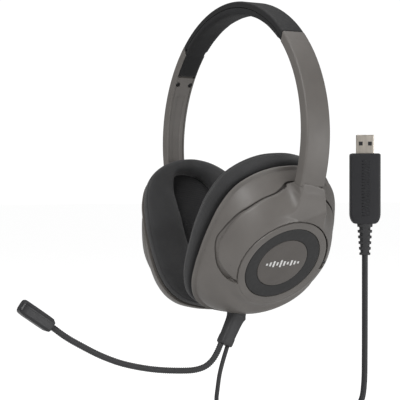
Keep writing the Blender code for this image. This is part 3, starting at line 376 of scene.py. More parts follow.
def add_mesh(name, points, faces, material, crease, side=1):
    """Welded object from points in mm, mirrored for side -1. A crease of 0 is smooth all over."""
    points = mirrored(np.asarray(points, float).reshape(-1, 3) * MM, side)
    mesh = bpy.data.meshes.new(name)
    mesh.from_pydata(points.tolist(), [], [list(map(int, face)) for face in faces])
    mesh.update()
    work = bmesh.new()
    work.from_mesh(mesh)
    bmesh.ops.remove_doubles(work, verts=work.verts, dist=2e-6)
    bmesh.ops.dissolve_degenerate(work, edges=work.edges, dist=1e-6)
    bmesh.ops.recalc_face_normals(work, faces=work.faces)
    if work.calc_volume(signed=True) < 0:
        bmesh.ops.reverse_faces(work, faces=work.faces)
    work.to_mesh(mesh)
    work.free()
    mesh.shade_smooth()
    if crease:
        mesh.set_sharp_from_angle(angle=math.radians(crease))
    if material:
        mesh.materials.append(material)
    return new_object(name, mesh)


def quads(*corners):
    return np.stack(corners, -1).reshape(-1, 4).tolist()


def strip(near, far):
    return quads(near[..., :-1], near[..., 1:], far[..., 1:], far[..., :-1])


def tube(name, rings, material, crease, side=1, closed=False, loop=True):
    """Skin over rings. closed joins the last ring to the first, loop closes each ring."""
    rings = np.asarray(rings, float)
    index = np.arange(rings.shape[0] * rings.shape[1]).reshape(rings.shape[:2])
    near = index if closed else index[:-1]
    far = np.roll(index, -1, 0) if closed else index[1:]
    if loop:
        faces = quads(near, np.roll(near, -1, 1), np.roll(far, -1, 1), far)
    else:
        faces = strip(near, far)
    if not closed:
        faces += [index[0][::-1].tolist(), index[-1].tolist()]
    return add_mesh(name, rings, faces, material, crease, side)


def lathe(name, angles, profile, material, crease, side, loop=False):
    """Profile of (radius, out) pairs round the cup's axis; each may vary with the angle."""
    rows = [polar(angles, np.broadcast_to(radius, angles.shape), out) for radius, out in profile]
    return tube(name, np.stack(rows, 1), material, crease, side, closed=True, loop=loop)


def rounded(width, height, radius, steps=6, inset=0.0, far_radius=None):
    """Rounded rectangle, y in -width/2..width/2 and depth 0..height, with its far corners'
    own radius if one is given."""
    far_radius = radius if far_radius is None else far_radius
    points = []
    for sign, edge, corner, start in ((1, 0, radius, -90), (1, height, far_radius, 0),
                                      (-1, height, far_radius, 90), (-1, 0, radius, 180)):
        corner = max(corner - inset, 0.05)
        y = (width / 2 - inset - corner) * sign
        depth = edge + (inset + corner) * (1 if edge == 0 else -1)
        for k in range(steps + 1):
            angle = math.radians(start + 90 * k / steps)
            points.append((y + corner * math.cos(angle), depth + corner * math.sin(angle)))
    return np.array(points)


def band_section(width, thick, radius, far_radius, sag, inset=0.0):
    """y and depth of a band section whose outer face sags towards its edges."""
    y, depth = rounded(width, thick, radius, inset=inset, far_radius=far_radius).T
    return y, depth + sag * (2 * y / width) ** 2 * np.clip(1 - depth / thick, 0, 1)


def placed(origin, axes, *amounts):
    """Origin plus an amount, or an array of amounts, along each axis."""
    for axis, amount in zip(axes, amounts):
        origin = origin + np.multiply.outer(amount, axis)
    return origin


def round_rings(path, radii):
    """Circles across a path; radii holds one row per point of the path."""
    tangent = np.gradient(path, axis=0)
    tangent /= np.linalg.norm(tangent, axis=1)[:, None]
    start = np.array((0.99, -0.1, 0.05))     # direction of each ring's first point
    first = start - tangent * (tangent @ start)[:, None]
    first /= np.linalg.norm(first, axis=1)[:, None]
    second = np.cross(tangent, first)
    turn = circle(radii.shape[1])[None, :, None]
    return path[:, None] + radii[..., None] * (first[:, None] * np.cos(turn)
                                               + second[:, None] * np.sin(turn))


def boxes(name, blocks, place, material=None, bevel=0.0, side=1, narrow=1.0):
    """Boxes of (centre, size), put in space by place(x, y, z). narrow scales their x and z
    on the face turned towards y = 0."""
    work = bmesh.new()
    for centre, size in blocks:
        for vert in bmesh.ops.create_cube(work, size=1.0)["verts"]:
            corner = np.array(tuple(vert.co))
            if corner[1] * centre[1] <= 0:
                corner[[0, 2]] *= narrow
            vert.co = Vector(place(*(np.array(centre) + corner * np.array(size)))) * MM
            vert.co.x *= side
    bmesh.ops.recalc_face_normals(work, faces=work.faces)
    if bevel:
        bmesh.ops.bevel(work, geom=list(work.edges), offset=bevel * MM, segments=2,
                        affect="EDGES")
    return from_bmesh(name, work, material)


def cut(cutter, *targets):
    """Bake the cutter's shape out of each target and remove the cutter."""
    for part in targets:
        modifier = part.modifiers.new("cut", "BOOLEAN")
        modifier.operation = "DIFFERENCE"
        modifier.solver = "EXACT"
        modifier.object = cutter
        mesh = evaluated_mesh(part)
        part.modifiers.remove(modifier)
        part.data = mesh
        mesh.shade_smooth()
        mesh.set_sharp_from_angle(angle=math.radians(30))
    bpy.data.objects.remove(cutter)


def register(part, slot, rides, *replaced):
    if replaced:
        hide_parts(*replaced)
    if rides:
        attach(part, rides)


def blend_to_arm(part, side):
    """Bake the part's transform into its mesh; two points on the band just past the cover's end
    are worked out too.
    """
    start, end = (mirrored(band(run, 0.0, 4.0) * MM, side) for run in (61.5, 69.0))
    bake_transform(part)


# ------------------------------------------------------------------ materials
def plug(target, inputs):
    """Link or set each named input of a node."""
    for key, value in inputs.items():
        if isinstance(value, bpy.types.NodeSocket):
            target.id_data.links.new(value, target.inputs[key])
        else:
            target.inputs[key].default_value = value


def add_node(tree, kind, inputs, **settings):
    made = tree.nodes.new("ShaderNode" + kind)
    for key, value in settings.items():
        setattr(made, key, value)
    plug(made, inputs)
    return made


def new_material(name):
    """Material, its tree, its shader and its object coordinates."""
    material = bpy.data.materials.new(name)
    material.use_nodes = True
    tree = material.node_tree
    coords = add_node(tree, "TexCoord", {}).outputs["Object"]
    return material, tree, tree.nodes["Principled BSDF"], coords


def noise(tree, coords, scale, detail=3.0, rough=0.55):
    return add_node(tree, "TexNoise", {"Scale": scale, "Detail": detail, "Roughness": rough,
                                       "Vector": coords}).outputs["Fac"]


def ramp(tree, factor, low, high, start=0.3, end=0.7):
    """Blend between two colours or grey levels."""
    made = add_node(tree, "ValToRGB", {"Fac": factor})
    stops = made.color_ramp.elements
    stops[0].position, stops[1].position = start, end
    stops[0].color = (*np.broadcast_to(low, 3), 1)
    stops[1].color = (*np.broadcast_to(high, 3), 1)
    return made.outputs["Color"]


def bump(tree, height, strength, distance):
    return add_node(tree, "Bump", {"Strength": strength, "Distance": distance,
                                   "Height": height}).outputs["Normal"]


def plastic(name, colour, rough, grain=0.05, scale=2600.0, vary=0.06, specular=0.5):
    """Moulded plastic with a fine grain and a slight unevenness in colour and sheen."""
    material, tree, shader, coords = new_material(name)
    colour = np.array(colour)
    plug(shader, {
        "Base Color": ramp(tree, noise(tree, coords, scale=60.0, detail=2.0),
                           low=colour * (1 - vary), high=colour * (1 + vary)),
        "Roughness": ramp(tree, noise(tree, coords, scale=420.0),
                          low=rough * 0.92, high=min(1, rough * 1.1)),
        "Normal": bump(tree, noise(tree, coords, scale=scale, detail=2.0),
                       strength=grain, distance=0.0002),
        "Specular IOR Level": specular,
        "Coat Roughness": 0.3})
    return material


def fabric(name, colour, pitch, strength, rough, sheen):
    """Close knit: crossed ribs at the yarn's pitch in mm, fuzz and a soft cloud of shade."""
    material, tree, shader, coords = new_material(name)
    colour = np.array(colour)

    def add(first, second):
        return add_node(tree, "Math", {0: first, 1: second}, operation="ADD").outputs[0]

    rib_x, rib_y, rib_z = [
        add_node(tree, "TexWave", {"Scale": 314.0 / pitch, "Distortion": 1.2, "Detail": 1.5,
                                   "Detail Scale": 2.0, "Vector": coords},
                 wave_type="BANDS", bands_direction=direction).outputs["Fac"]
        for direction in ("X", "Y", "Z")]
    ribs = add(add(rib_x, rib_y), rib_z)
    fuzzy = add(ribs, noise(tree, coords, scale=3200.0, detail=4.0, rough=0.7))
    normal = bump(tree, fuzzy, strength=strength, distance=0.00025)
    cloud = ramp(tree, noise(tree, coords, scale=55.0), low=colour * 0.86, high=colour * 1.14)
    tone = ramp(tree, ribs, low=0.55, high=1.15, start=0.6, end=2.0)
    yarn = add_node(tree, "Mix", {"Factor": 0.30, "A": cloud, "B": tone},
                    data_type="RGBA", blend_type="MULTIPLY")
    plug(shader, {
        "Normal": normal,
        "Base Color": yarn.outputs["Result"],
        "Roughness": rough,
        "Sheen Weight": sheen,
        "Sheen Roughness": 0.5,
        "Specular IOR Level": 0.2})
    return material


def metal(name, colour, rough, brush=0.25):
    """Metal with brush marks drawn out along z."""
    material, tree, shader, coords = new_material(name)
    colour = np.array(colour)
    stretched = add_node(tree, "Mapping", {"Scale": (1.0, 1.0, 0.06), "Vector": coords})
    marks = noise(tree, stretched.outputs["Vector"], scale=900.0, detail=4.0, rough=0.6)
    plug(shader, {
        "Roughness": ramp(tree, marks, low=rough * 0.8, high=rough * 1.25),
        "Base Color": ramp(tree, marks, low=colour * 0.93, high=np.minimum(colour * 1.04, 1)),
        "Normal": bump(tree, marks, strength=brush, distance=0.00005),
        "Metallic": 1.0})
    return material


TAUPE_COLOUR = (0.148, 0.137, 0.127)
TAUPE = plastic("taupe_plastic", TAUPE_COLOUR, rough=0.42, grain=0.06)
ARM_TAUPE = plastic("taupe_plastic_arm", TAUPE_COLOUR, rough=0.46, grain=0.06)
DISC_TAUPE = plastic("taupe_disc", (0.110, 0.100, 0.092), rough=0.5, grain=0.12, scale=1800.0)
RING_BLACK = plastic("black_ring", (0.026, 0.026, 0.0262), rough=0.62, grain=0.10)
COVER_BLACK = plastic("black_cover", (0.013, 0.013, 0.0135), rough=0.62, grain=0.10,
                      scale=1500.0)
PLUG_BLACK = plastic("plug_black", (0.020, 0.020, 0.023), rough=0.5, grain=0.08)
MIC_BLACK = plastic("mic_black", (0.021, 0.021, 0.023), rough=0.40, grain=0.08)
RUBBER = plastic("soft_black_rubber", (0.045, 0.045, 0.047), rough=0.55, grain=0.08,
                 scale=2000.0, vary=0.08, specular=0.4)
CABLE = plastic("cable_jacket", (0.030, 0.030, 0.032), rough=0.5, grain=0.05,
                scale=2000.0, vary=0.08, specular=0.45)
INNER_BLACK = plastic("inner_black", (0.018, 0.018, 0.019), rough=0.6)
WHITE = plastic("mark_white", (0.80, 0.80, 0.79), rough=0.5, grain=0.03)
# pad cloth: its own black, darkened further with painted shade of the pad's shadowed underside
PAD_CLOTH_WITH_SHADE = fabric("pad_fabric", (0.021, 0.021, 0.022),
                   pitch=0.55, strength=0.3, rough=0.95, sheen=0.08)
CUSHION_CLOTH = fabric("cushion_fabric", (0.040, 0.040, 0.041),
                       pitch=0.5, strength=0.3, rough=0.95, sheen=0.18)
SCREEN_CLOTH = fabric("screen_cloth", (0.022, 0.022, 0.023),
                      pitch=0.8, strength=0.4, rough=1.0, sheen=0.15)
STEEL = metal("rolled_steel", (0.56, 0.56, 0.57), rough=0.32)
SCREW = metal("blackened_screw", (0.045, 0.045, 0.047), rough=0.5)
PLATED = metal("plated_shell", (0.74, 0.68, 0.60), rough=0.38, brush=0.15)
FILM = plastic("clear_film", (0.55, 0.50, 0.40), rough=0.3)
BOARD = plastic("solder_resist", (0.03, 0.18, 0.08), rough=0.4)

# Finish of the CAD pieces by name without side; the rest are rubber
CAD_FINISH = {
    "spring_band": STEEL, "spring_end": STEEL, "slider": STEEL, "driver_magnet": STEEL,
    "mic_capsule": STEEL, "arm_screw_front": SCREW, "arm_screw_rear": SCREW,
    "pivot_pin_front": SCREW, "pivot_pin_rear": SCREW, "cup_baffle": INNER_BLACK,
    "driver_frame": INNER_BLACK, "cushion_ring": INNER_BLACK, "driver_diaphragm": FILM,
    "usb_tongue": PLUG_BLACK, "usb_board": BOARD}
for node_name, piece in frame["nodes"].items():
    base_name = node_name.replace("left_", "").replace("right_", "")
    piece.data.materials.clear()
    piece.data.materials.append(CAD_FINISH.get(base_name, RUBBER))


# ------------------------------------------------------------------ crown
def crown_cover():
    end = [(COVER_END, 0.0), (COVER_END + 0.25, 0.35), (COVER_END + 0.35, 0.9)]
    stations = [(-run, inset) for run, inset in reversed(end)]      # run, inset
    stations += [(run, 0.0) for run in np.linspace(-COVER_END + 1.0, COVER_END - 1.0, 118)]
    rings = []
    for run, inset in stations + end:
        y, depth = band_section(band_width(run), 4.0, radius=1.5, far_radius=0.35, sag=0.3,
                                inset=inset)
        lean = np.sign(run) * SLANT * depth * smooth01((abs(run) - 40) / 21)
        rings.append(band(run + lean, y, depth))
    part = tube("crown_cover_skin", rings, COVER_BLACK, 30)
    register(part, "cover", "headband", "crown_cover")


def pad_section(run):
    """Soft section of the crown pad: y and depth at one run."""
    seat, shallow = 4.12, 4.2       # depth of its hidden face, and of its rounded-off end
    half = band_width(run) / 2 - 0.03 - 0.85 * float(smooth01((run - 60.0) / 1.3))
    crown = 1 - np.clip((run - 0.25 * COVER_END) / (0.8 * COVER_END), 0, 1)
    low = TOP_THICK + (0.55 + 2.27 * (0.35 + 0.65 * crown))
    left = np.clip((PAD_END + 0.2 - run) / 3.2, 0, 1)
    fill = math.sqrt(1 - (1 - left) ** 2)
    low = shallow + (low - shallow) * (0.30 + 0.70 * fill)
    half = half * (0.94 + 0.06 * fill)
    turn = circle(64)
    rise = np.sin(turn)
    y = half * signed_power(np.cos(turn), 0.42)
    middle = 5.3 if low > 5.6 else (shallow + low) / 2
    depth = np.where(rise > 0, middle + (low - middle) * np.abs(rise) ** 0.62,
                     middle - (middle - seat) * np.abs(rise) ** 0.22)
    # slow waves of the cloth
    wave = 0.07 * np.sin(run / 3.1) * np.sin(run / 7.3 + y / 4.0)
    return y, depth + np.where(depth > 5.6, wave, 0)


def crown_pad(side, tag):
    end = PAD_END - np.array([3.2, 2.4, 1.7, 1.1, 0.6, 0.25, 0.05, -0.1])
    runs = np.r_[np.linspace(0, PAD_END - 4, 100), end]
    rings = np.array([band(run, *pad_section(run)) for run in runs])
    rings[0, :, 0] = 0.0
    part = tube(f"crown_pad_{tag}", rings, PAD_CLOTH_WITH_SHADE, 60, side)
    register(part, "pad", None, "crown_pad")
    blend_to_arm(part, side)


crown_cover()
for side, tag in SIDES:
    crown_pad(side, tag)


# ------------------------------------------------------------------ arms
def arm_section(run, inset=0.0):
    """y and depth of the arm, with a sunk seat in its inner face between two lips."""
    width, thick = band_width(run), band_thick(run)
    past_pad = max(run - PAD_END - 0.2, 0.0)
    seat = min(thick - 0.75, 3.9 + (thick - 4.65) * past_pad / 0.9)
    lip = width / 2 - min(1.55, 0.75 + 0.8 * past_pad)
    y, depth = band_section(width, thick, radius=1.25, far_radius=0.7, sag=0.28, inset=inset)
    seat_y = [lip, lip - 0.05, -lip + 0.05, -lip]
    seat_depth = np.array([thick, seat, seat, thick]) - inset
    corner = 14     # the seat follows the points of the first two corners
    return (np.r_[y[:corner], seat_y, y[corner:]],
            np.r_[depth[:corner], seat_depth, depth[corner:]])


def arm_skin(side, tag):
    plain = np.r_[np.linspace(ARM_START + 1.2, PAD_END + 0.2, 22),
                  np.linspace(PAD_END + 0.45, PAD_END + 1.2, 4),
                  np.linspace(PAD_END + 2.0, ARM_END - 0.8, 64)]
    stations = [(ARM_START, 0.5), (ARM_START + 0.12, 0.15), (ARM_START + 0.4, 0.0)]
    stations += [(run, 0.0) for run in plain]
    stations += [(ARM_END - 0.30, 0.0), (ARM_END - 0.08, 0.10), (ARM_END, 0.32)]
    rings = []
    for run, inset in stations:
        y, depth = arm_section(run, inset)
        lean = SLANT * depth * (1 - smooth01((run - 62) / 10))
        groove = 0.22 * math.exp(-((run - (ARM_START + 8.2)) / 0.28) ** 2)
        rings.append(band(run + lean, y, depth + groove * (depth < 1.0)))
    # the open end, with the slot that the slider runs in
    end_y, end_depth = arm_section(ARM_END)
    for run in (ARM_END, ARM_END - 24):
        width, thick = band_width(run), band_thick(run)
        y = end_y * (width - 2 * 1.6 - 0.6) / width
        rings.append(band(run, y, 1.3 + (np.clip(end_depth, 0, thick) / thick) * (thick - 3.0)))
    return tube(f"{tag}_arm_skin", rings, ARM_TAUPE, 30, side)


def arm_plate(side, tag):
    """Inner plate, with a shallow channel down its middle."""
    stations = [(PLATE_START, 0.12), (PLATE_START + 0.15, 0.0)]
    stations += [(run, 0.0) for run in np.linspace(PLATE_START + 0.6, ARM_END - 1.4, 70)]
    stations += [(ARM_END - 1.1, 0.0), (ARM_END - 0.95, 0.12)]
    rings = []
    for run, inset in stations:
        half = band_width(run) / 2 - 1.72 - inset
        face = band_thick(run) - 0.08 - inset
        channel = (0.62 * smooth01((run - CHANNEL_START - 2) / 1.6)
                   * smooth01((ARM_END - 7.5 - run) / 1.6))
        y = np.array([-half + 0.25, -half, -half, half, half, half - 0.25,
                      3.5, 3.2, 2.8, -2.8, -3.2, -3.5])
        sunk = np.array([0, 0.25, 0.45, 0.45, 0.25, 0, 0, 0.12 * channel, channel,
                         channel, 0.12 * channel, 0])
        rings.append(band(run, y, face - sunk))
    return tube(f"{tag}_inner_plate", rings, ARM_TAUPE, 30, side)


def screw_hole(side, y):
    """Cutter for the hole of an arm screw."""
    radius = 1.75 * MM
    thick = band_thick(SCREW_RUN)
    top, floor = band(SCREW_RUN, y, thick + 2.0), band(SCREW_RUN, y, thick - 1.3)
    work = bmesh.new()
    bmesh.ops.create_cone(work, cap_ends=True, segments=32, radius1=radius, radius2=radius,
                          depth=float(np.linalg.norm(top - floor)) * MM)
    top, floor = Vector(mirrored(top, side) * MM), Vector(mirrored(floor, side) * MM)
    turn = (floor - top).to_track_quat("Z", "Y").to_matrix().to_4x4()
    bmesh.ops.transform(work, matrix=Matrix.Translation((top + floor) / 2) @ turn,
                        verts=work.verts)
    return from_bmesh("cut", work)


def arm_screw(side, tag, place, y):
    """Screw sunk in its hole: domed head with a cross recess, and a shank."""
    # radius, depth, share of the cross recess
    profile = (
        (0.02, 0.0, 1.0), (0.35, 0.0, 1.0), (0.62, 0.02, 1.0), (0.85, 0.06, 0.6),
        (1.0, 0.10, 0.0), (1.25, 0.20, 0.0), (1.4, 0.42, 0.0), (1.42, 0.95, 0.0),
        (0.85, 1.0, 0.0), (0.85, 3.0, 0.0), (0.6, 3.4, 0.0))
    top = band(SCREW_RUN, y, band_thick(SCREW_RUN) - 0.35)
    axis = unit(band(SCREW_RUN, y, 2.2) - top)
    across = unit(np.cross(axis, [0.0, 1.0, 0.0]))
    axes = (axis, across, np.cross(axis, across))
    turn = circle(48)
    cross = smooth01((0.42 - np.abs(np.sin(2 * turn))) / 0.3)
    rings = [placed(top, axes, depth + 0.55 * share * cross,
                    radius * np.cos(turn), radius * np.sin(turn))
             for radius, depth, share in profile]
    node = f"{tag}_arm_screw_{place}"
    part = tube(f"{node}_head", rings, SCREW, 30, side)
    register(part, "steel", f"{tag}_arm", node)


def arm(side, tag):
    skin = arm_skin(side, tag)
    register(skin, "arm", None, f"{tag}_arm")
    plate = arm_plate(side, tag)
    for place, y in (("front", -5.2), ("rear", 5.2)):
        cut(screw_hole(side, y), plate, skin)
        arm_screw(side, tag, place, y)
    # after the holes are cut
    blend_to_arm(skin, side)
    register(plate, "arm", f"{tag}_arm", f"{tag}_arm_plate")


for side, tag in SIDES:
    arm(side, tag)


# ------------------------------------------------------------------ yokes
def arm_plane(rear, rise):
    """The arm's outer face carried on towards the boss."""
    hollow = 0.25 * ((rear - 7.9) / 7.7) ** 2 * np.clip((rise - 40) / 8, 0, 1)
    return 25.5 + (50.8 - rise) * 0.42 + (rear - 0.2) * 0.166 + hollow


def soft_min(first, second):
    reach = 1.2
    share = np.clip(0.5 + 0.5 * (second - first) / reach, 0, 1)
    return second * (1 - share) + first * share - reach * share * (1 - share) * 0.5


def shell_face(angle, radius):
    """The dome, held level past its edge."""
    return dome(angle, np.minimum(radius, rim_radius(angle) - 2.7))


def yoke_top(angle, radius):
    """Outer face of the yoke: the dome with the arm's ridge running out on it."""
    turn = np.radians(angle)
    rear, rise = radius * np.cos(turn), radius * np.sin(turn)
    base = shell_face(angle, radius)
    front_edge, rear_edge = curve(RIDGE_FRONT, rise), curve(RIDGE_REAR, rise)
    outside = np.maximum(np.maximum(front_edge - rear, rear - rear_edge), 0.0)
    ridge = np.maximum(soft_min(boss_plane(rear, rise) - 0.1, arm_plane(rear, rise)), base)
    lift = (ridge - base) * smooth01((rise - 19) / 7)
    # the ridge's flanks widen downwards
    flank = np.where(rear < front_edge, 0.9 + 10.6 * smooth01((46.5 - rise) / 11),
                     0.9 + 9.0 * smooth01((47.5 - rise) / 11))
    return base + lift * (1 - np.clip(outside / flank, 0, 1)) ** 2.0


def past_recess(radius):
    """0 over the recess, rising to 1 where the yoke lies over the shell's edge."""
    return smooth01((radius - 45.0) / 1.2)


def yoke_low(angle, radius, top):
    """Underside: follows the shell, and draws up to the arm's thickness at the neck."""
    base = shell_face(angle, radius)
    rise = radius * np.sin(np.radians(angle))
    low = np.minimum(top - 3.1, base - 1.5)
    low = np.maximum(low, top - (7.4 + 1.7 * np.clip(51 - rise, 0, 40)))
    over = past_recess(radius)
    return np.maximum(low, base + 0.7 * over - 6.0 * (1 - over))


def yoke_arch():
    angles = np.linspace(YOKE_EDGE[0][0], YOKE_EDGE[-1][0], 440)
    outer = (curve(YOKE_EDGE, angles) - 0.25 * smooth01((angles - 95) / 10))[:, None]
    inner = (YOKE_INNER_R + 1.5 * smooth01((45 - angles) / 30))[:, None]
    angle, share = np.meshgrid(angles, np.linspace(0, 1, 34), indexing="ij")
    radius = inner + (outer - inner) * share
    top = np.maximum(yoke_top(angle, radius),
                     shell_face(angle, radius) + 2.2 * past_recess(radius))
    low = yoke_low(angle, radius, top)
    points = np.concatenate([polar(angle, radius, face).reshape(-1, 3) for face in (top, low)])
    upper = np.arange(angle.size).reshape(angle.shape)
    lower = upper + angle.size
    faces = strip(upper[:-1], upper[1:])
    faces += quads(lower[:-1, :-1], lower[1:, :-1], lower[1:, 1:], lower[:-1, 1:])
    for edge in (np.s_[:, 0], np.s_[:, -1], np.s_[0], np.s_[-1]):
        faces += strip(upper[edge], lower[edge])
    return add_mesh("arch", points, faces, None, 0)


def yoke_stem():
    """The arm's section running down into the arch."""
    start = ARM_END + 0.45
    width, thick = band_width(start), band_thick(start)
    neck = 0.18         # share of the stem that still follows the band
    shares = np.linspace(0, 1, 16)
    section = band_section(width, thick, radius=1.25, far_radius=0.9, sag=0.28)
    rings = []
    for share in shares[shares < neck]:
        run = start + share / neck * 1.6
        rings.append(band(run, *section))
    neck_rear, neck_front = band(run, width / 2, 0.0), band(run, -width / 2, 0.0)
    neck_in = band(run, 0.0, thick) - band(run, 0.0, 0.0)
    for share in shares[shares >= neck]:
        down = (share - neck) / (1 - neck)
        rise = 50.0 - 11.0 * down
        edges = []
        for table, neck_edge in ((RIDGE_REAR, neck_rear), (RIDGE_FRONT, neck_front)):
            rear = float(curve(table, rise))
            angle, radius = math.degrees(math.atan2(rise, rear)), math.hypot(rear, rise)
            ridge = cup(rear, rise, float(yoke_top(angle, radius)) - 0.25 * down)
            mix = smooth01(down / 0.30)
            edges.append(neck_edge * (1 - mix) + ridge * mix)
        inward = neck_in * (1 - down) + (-SWEPT_OUT * 6.0) * down
        across = edges[0] - edges[1]
        corners = rounded(float(np.linalg.norm(across)), float(np.linalg.norm(inward)), 1.25,
                          far_radius=0.9)
        rings.append(placed((edges[0] + edges[1]) / 2, (unit(across), unit(inward)),
                            *corners.T))
    return tube("stem", rings, None, 0)


def yoke_mesh():
    """Arch and stem melted together: points in mm and faces."""
    arch, stem = yoke_arch(), yoke_stem()
    for part in (arch, stem):
        work = bmesh.new()
        work.from_mesh(part.data)
        bmesh.ops.triangulate(work, faces=work.faces)
        work.to_mesh(part.data)
        work.free()
    bpy.context.view_layer.objects.active = arch
    for part in bpy.context.selected_objects:
        part.select_set(False)
    stem.select_set(True)
    arch.select_set(True)
    bpy.ops.object.join()
    melt = arch.modifiers.new("melt", "REMESH")
    melt.mode = "VOXEL"
    melt.voxel_size = 0.42 * MM
    melt.adaptivity = 0.0
    soften = arch.modifiers.new("soften", "SMOOTH")
    soften.factor = 0.5
    soften.iterations = 7
    mesh = evaluated_mesh(arch)
    bpy.data.objects.remove(arch)
    return read_points(mesh) / MM, [tuple(face.vertices) for face in mesh.polygons]


yoke_points, yoke_faces = yoke_mesh()
for side, tag in SIDES:
    yoke = add_mesh(f"{tag}_yoke_skin", yoke_points, yoke_faces, TAUPE, 0, side)
    register(yoke, "yoke", f"{tag}_yoke", f"{tag}_yoke")


# ------------------------------------------------------------------ cup shells
def on_badge(angles, stations):
    """Profile from (radius, lift over the badge plane)."""
    return [(radius, badge_face(angles, radius, lift)) for radius, lift in stations]


def shell_angles():
    """Every 1.5 degrees, and closer at the recess's ends."""
    close = np.array([-0.5, 0.0, 0.4, 0.8, 1.2, 1.8, 2.4, 3.2])
    angles = np.r_[np.arange(0, 360, 1.5), RECESS_EDGE[0][0] + close,
                   RECESS_EDGE[-1][0] - close]
    return np.unique(np.round(np.mod(angles, 360), 2))


def cup_shell(side, tag):
    angles = shell_angles()
    rim = rim_radius(angles)
    upper = upper_angle(angles)
    inside = (upper > RECESS_EDGE[0][0]) & (upper < RECESS_EDGE[-1][0])
    edge = np.where(inside, curve(RECESS_EDGE, upper), RECESS_INNER_R)
    edge = np.minimum(edge + 1.2 * hump(upper, 80.0, 24.0) * inside, rim - 2.0)
    drop = RECESS_DEPTH * inside * smooth01(np.clip((edge - RECESS_INNER_R) / 1.5, 0, 1))
    sunk = drop > 0.3

    # badge seat and boss top
    profile = on_badge(angles, (
        (0.0, -1.9), (16.0, -1.9), (RING_R + 0.45, -1.9), (RING_R + 0.45, -0.4),
        (RING_R + 0.62, -0.12), (RING_R + 1.0, -0.02), (28.0, 0.05), (BOSS_R - 1.2, -0.02),
        (BOSS_R - 0.45, -0.10), (BOSS_R - 0.1, -0.3)))
    # boss wall
    profile += [
        (BOSS_R + 0.05, np.where(sunk, badge_face(angles, BOSS_R, -0.8),
                                 dome(angles, BOSS_R + 0.05) - 0.35)),
        (BOSS_R + 0.12, np.where(sunk, dome(angles, RECESS_INNER_R) - drop - 0.8,
                                 dome(angles, BOSS_R + 0.12) - 0.35))]
    # floor under the yoke, and the way up at its outline
    for share in (0.2, 0.45, 0.7, 0.9):
        radius = np.where(inside, RECESS_INNER_R + (edge - RECESS_INNER_R) * share,
                          31.2 + 0.6 * share)
        profile.append((radius, dome(angles, radius) - drop))
    wall = np.where(inside, edge, RECESS_INNER_R + 0.65)
    profile += [
        (wall, dome(angles, wall) - drop),
        (wall + 0.02, dome(angles, wall) - 0.38 * sunk),
        (wall + 0.14, dome(angles, wall + 0.14) - 0.12 * sunk),
        (wall + 0.40, dome(angles, wall + 0.40))]
    # dome
    start, end = wall + 0.40, rim - 2.2
    for share in np.r_[np.linspace(0.05, 0.75, 16), 0.80, 0.85, 0.89, 0.93, 0.96, 0.985]:
        radius = start + (end - start) * share
        profile.append((radius, dome(angles, radius)))
    # lip, rim and inside
    profile += [
        (end, RIM_LIP + 0.12), (rim - 2.05, RIM_LIP + 0.02), (rim - 1.0, RIM_LIP - 0.22),
        (rim - 0.25, RIM_LIP - 0.45), (rim - 0.04, RIM_LIP - 0.70), (rim, RIM_LIP - 1.1),
        (rim - 0.12, 0.08), (rim - 0.5, 0.0), (rim - 2.2, 0.0), (rim - 3.6, 2.0),
        ((rim - 5.0) * 0.65 + 24.5 * 0.35, badge_face(angles, 26, -8.5) * 0.40),
        ((rim - 5.5) * 0.2 + 24.5 * 0.8, badge_face(angles, 26, -8.0) * 0.76)]
    profile += on_badge(angles, ((22.0, -8.4), (0.0, -8.4)))
    part = lathe(f"{tag}_cup_shell_skin", angles, profile, TAUPE, 28, side)
    register(part, "shell", f"{tag}_cup", f"{tag}_cup_shell")


def badge(side, tag):
    """Ring, disc and a row of bars on the disc."""
    angles = np.linspace(0, 360, 120, endpoint=False)
    ring = on_badge(angles, (
        (DISC_R + 0.25, -1.5), (RING_R + 0.1, -1.5), (RING_R + 0.1, -0.5),
        (RING_R - 0.15, -0.25), (RING_R - 0.8, -0.15), (21.3, -0.35), (DISC_R + 0.8, -0.62),
        (DISC_R + 0.35, -0.72), (DISC_R + 0.25, -0.9)))
    part = lathe(f"{tag}_badge_ring_skin", angles, ring, RING_BLACK, 35, side, loop=True)
    register(part, "ring", f"{tag}_cup", f"{tag}_badge_ring")
    disc = on_badge(angles, (
        (0.0, -1.5), (DISC_R, -1.5), (DISC_R, -0.85), (DISC_R - 0.12, -0.62),
        (DISC_R - 0.5, -0.5), (12.0, -0.42), (6.0, -0.36), (0.0, -0.35)))
    part = lathe(f"{tag}_badge_disc_skin", angles, disc, DISC_TAUPE, 35, side)
    register(part, "disc", f"{tag}_cup", f"{tag}_badge_disc")

    heights = (1.2, 2.4, 3.6, 2.0, 4.2, 2.8, 1.6, 3.2, 2.2, 1.2)
    bars = [(((i - (len(heights) - 1) / 2) * 2.55, 0.0, 0.0), (1.3, height * 1.25, 0.22))
            for i, height in enumerate(heights)]
    part = boxes(f"{tag}_level_bars", bars,
                 lambda x, y, z: cup(x, y, boss_plane(x, y) - 0.33 + z),
                 WHITE, bevel=0.04, side=side)
    register(part, "disc", f"{tag}_cup")


# ------------------------------------------------------------------ cushions
def opening(angles):
    """Radius of the ear opening, its corners eased by averaging."""
    keys, radii = np.array(OPENING, float).T
    keys, radii = np.r_[keys, 360.0], np.r_[radii, radii[0]]
    angles = np.mod(np.asarray(angles, float), 360.0)
    return sum(np.interp(np.mod(angles + shift, 360.0), keys, radii)
               for shift in (-3.0, -1.5, 0.0, 1.5, 3.0)) / 5


def fullness(angles, amount):
    """Extra fill of the cushion, most at its upper front."""
    return amount * hump(np.mod(angles + 60, 360) - 60, 128.0, 88.0)


def cushion_low(full):
    return -CUSHION_DEPTH - 3.4 * full


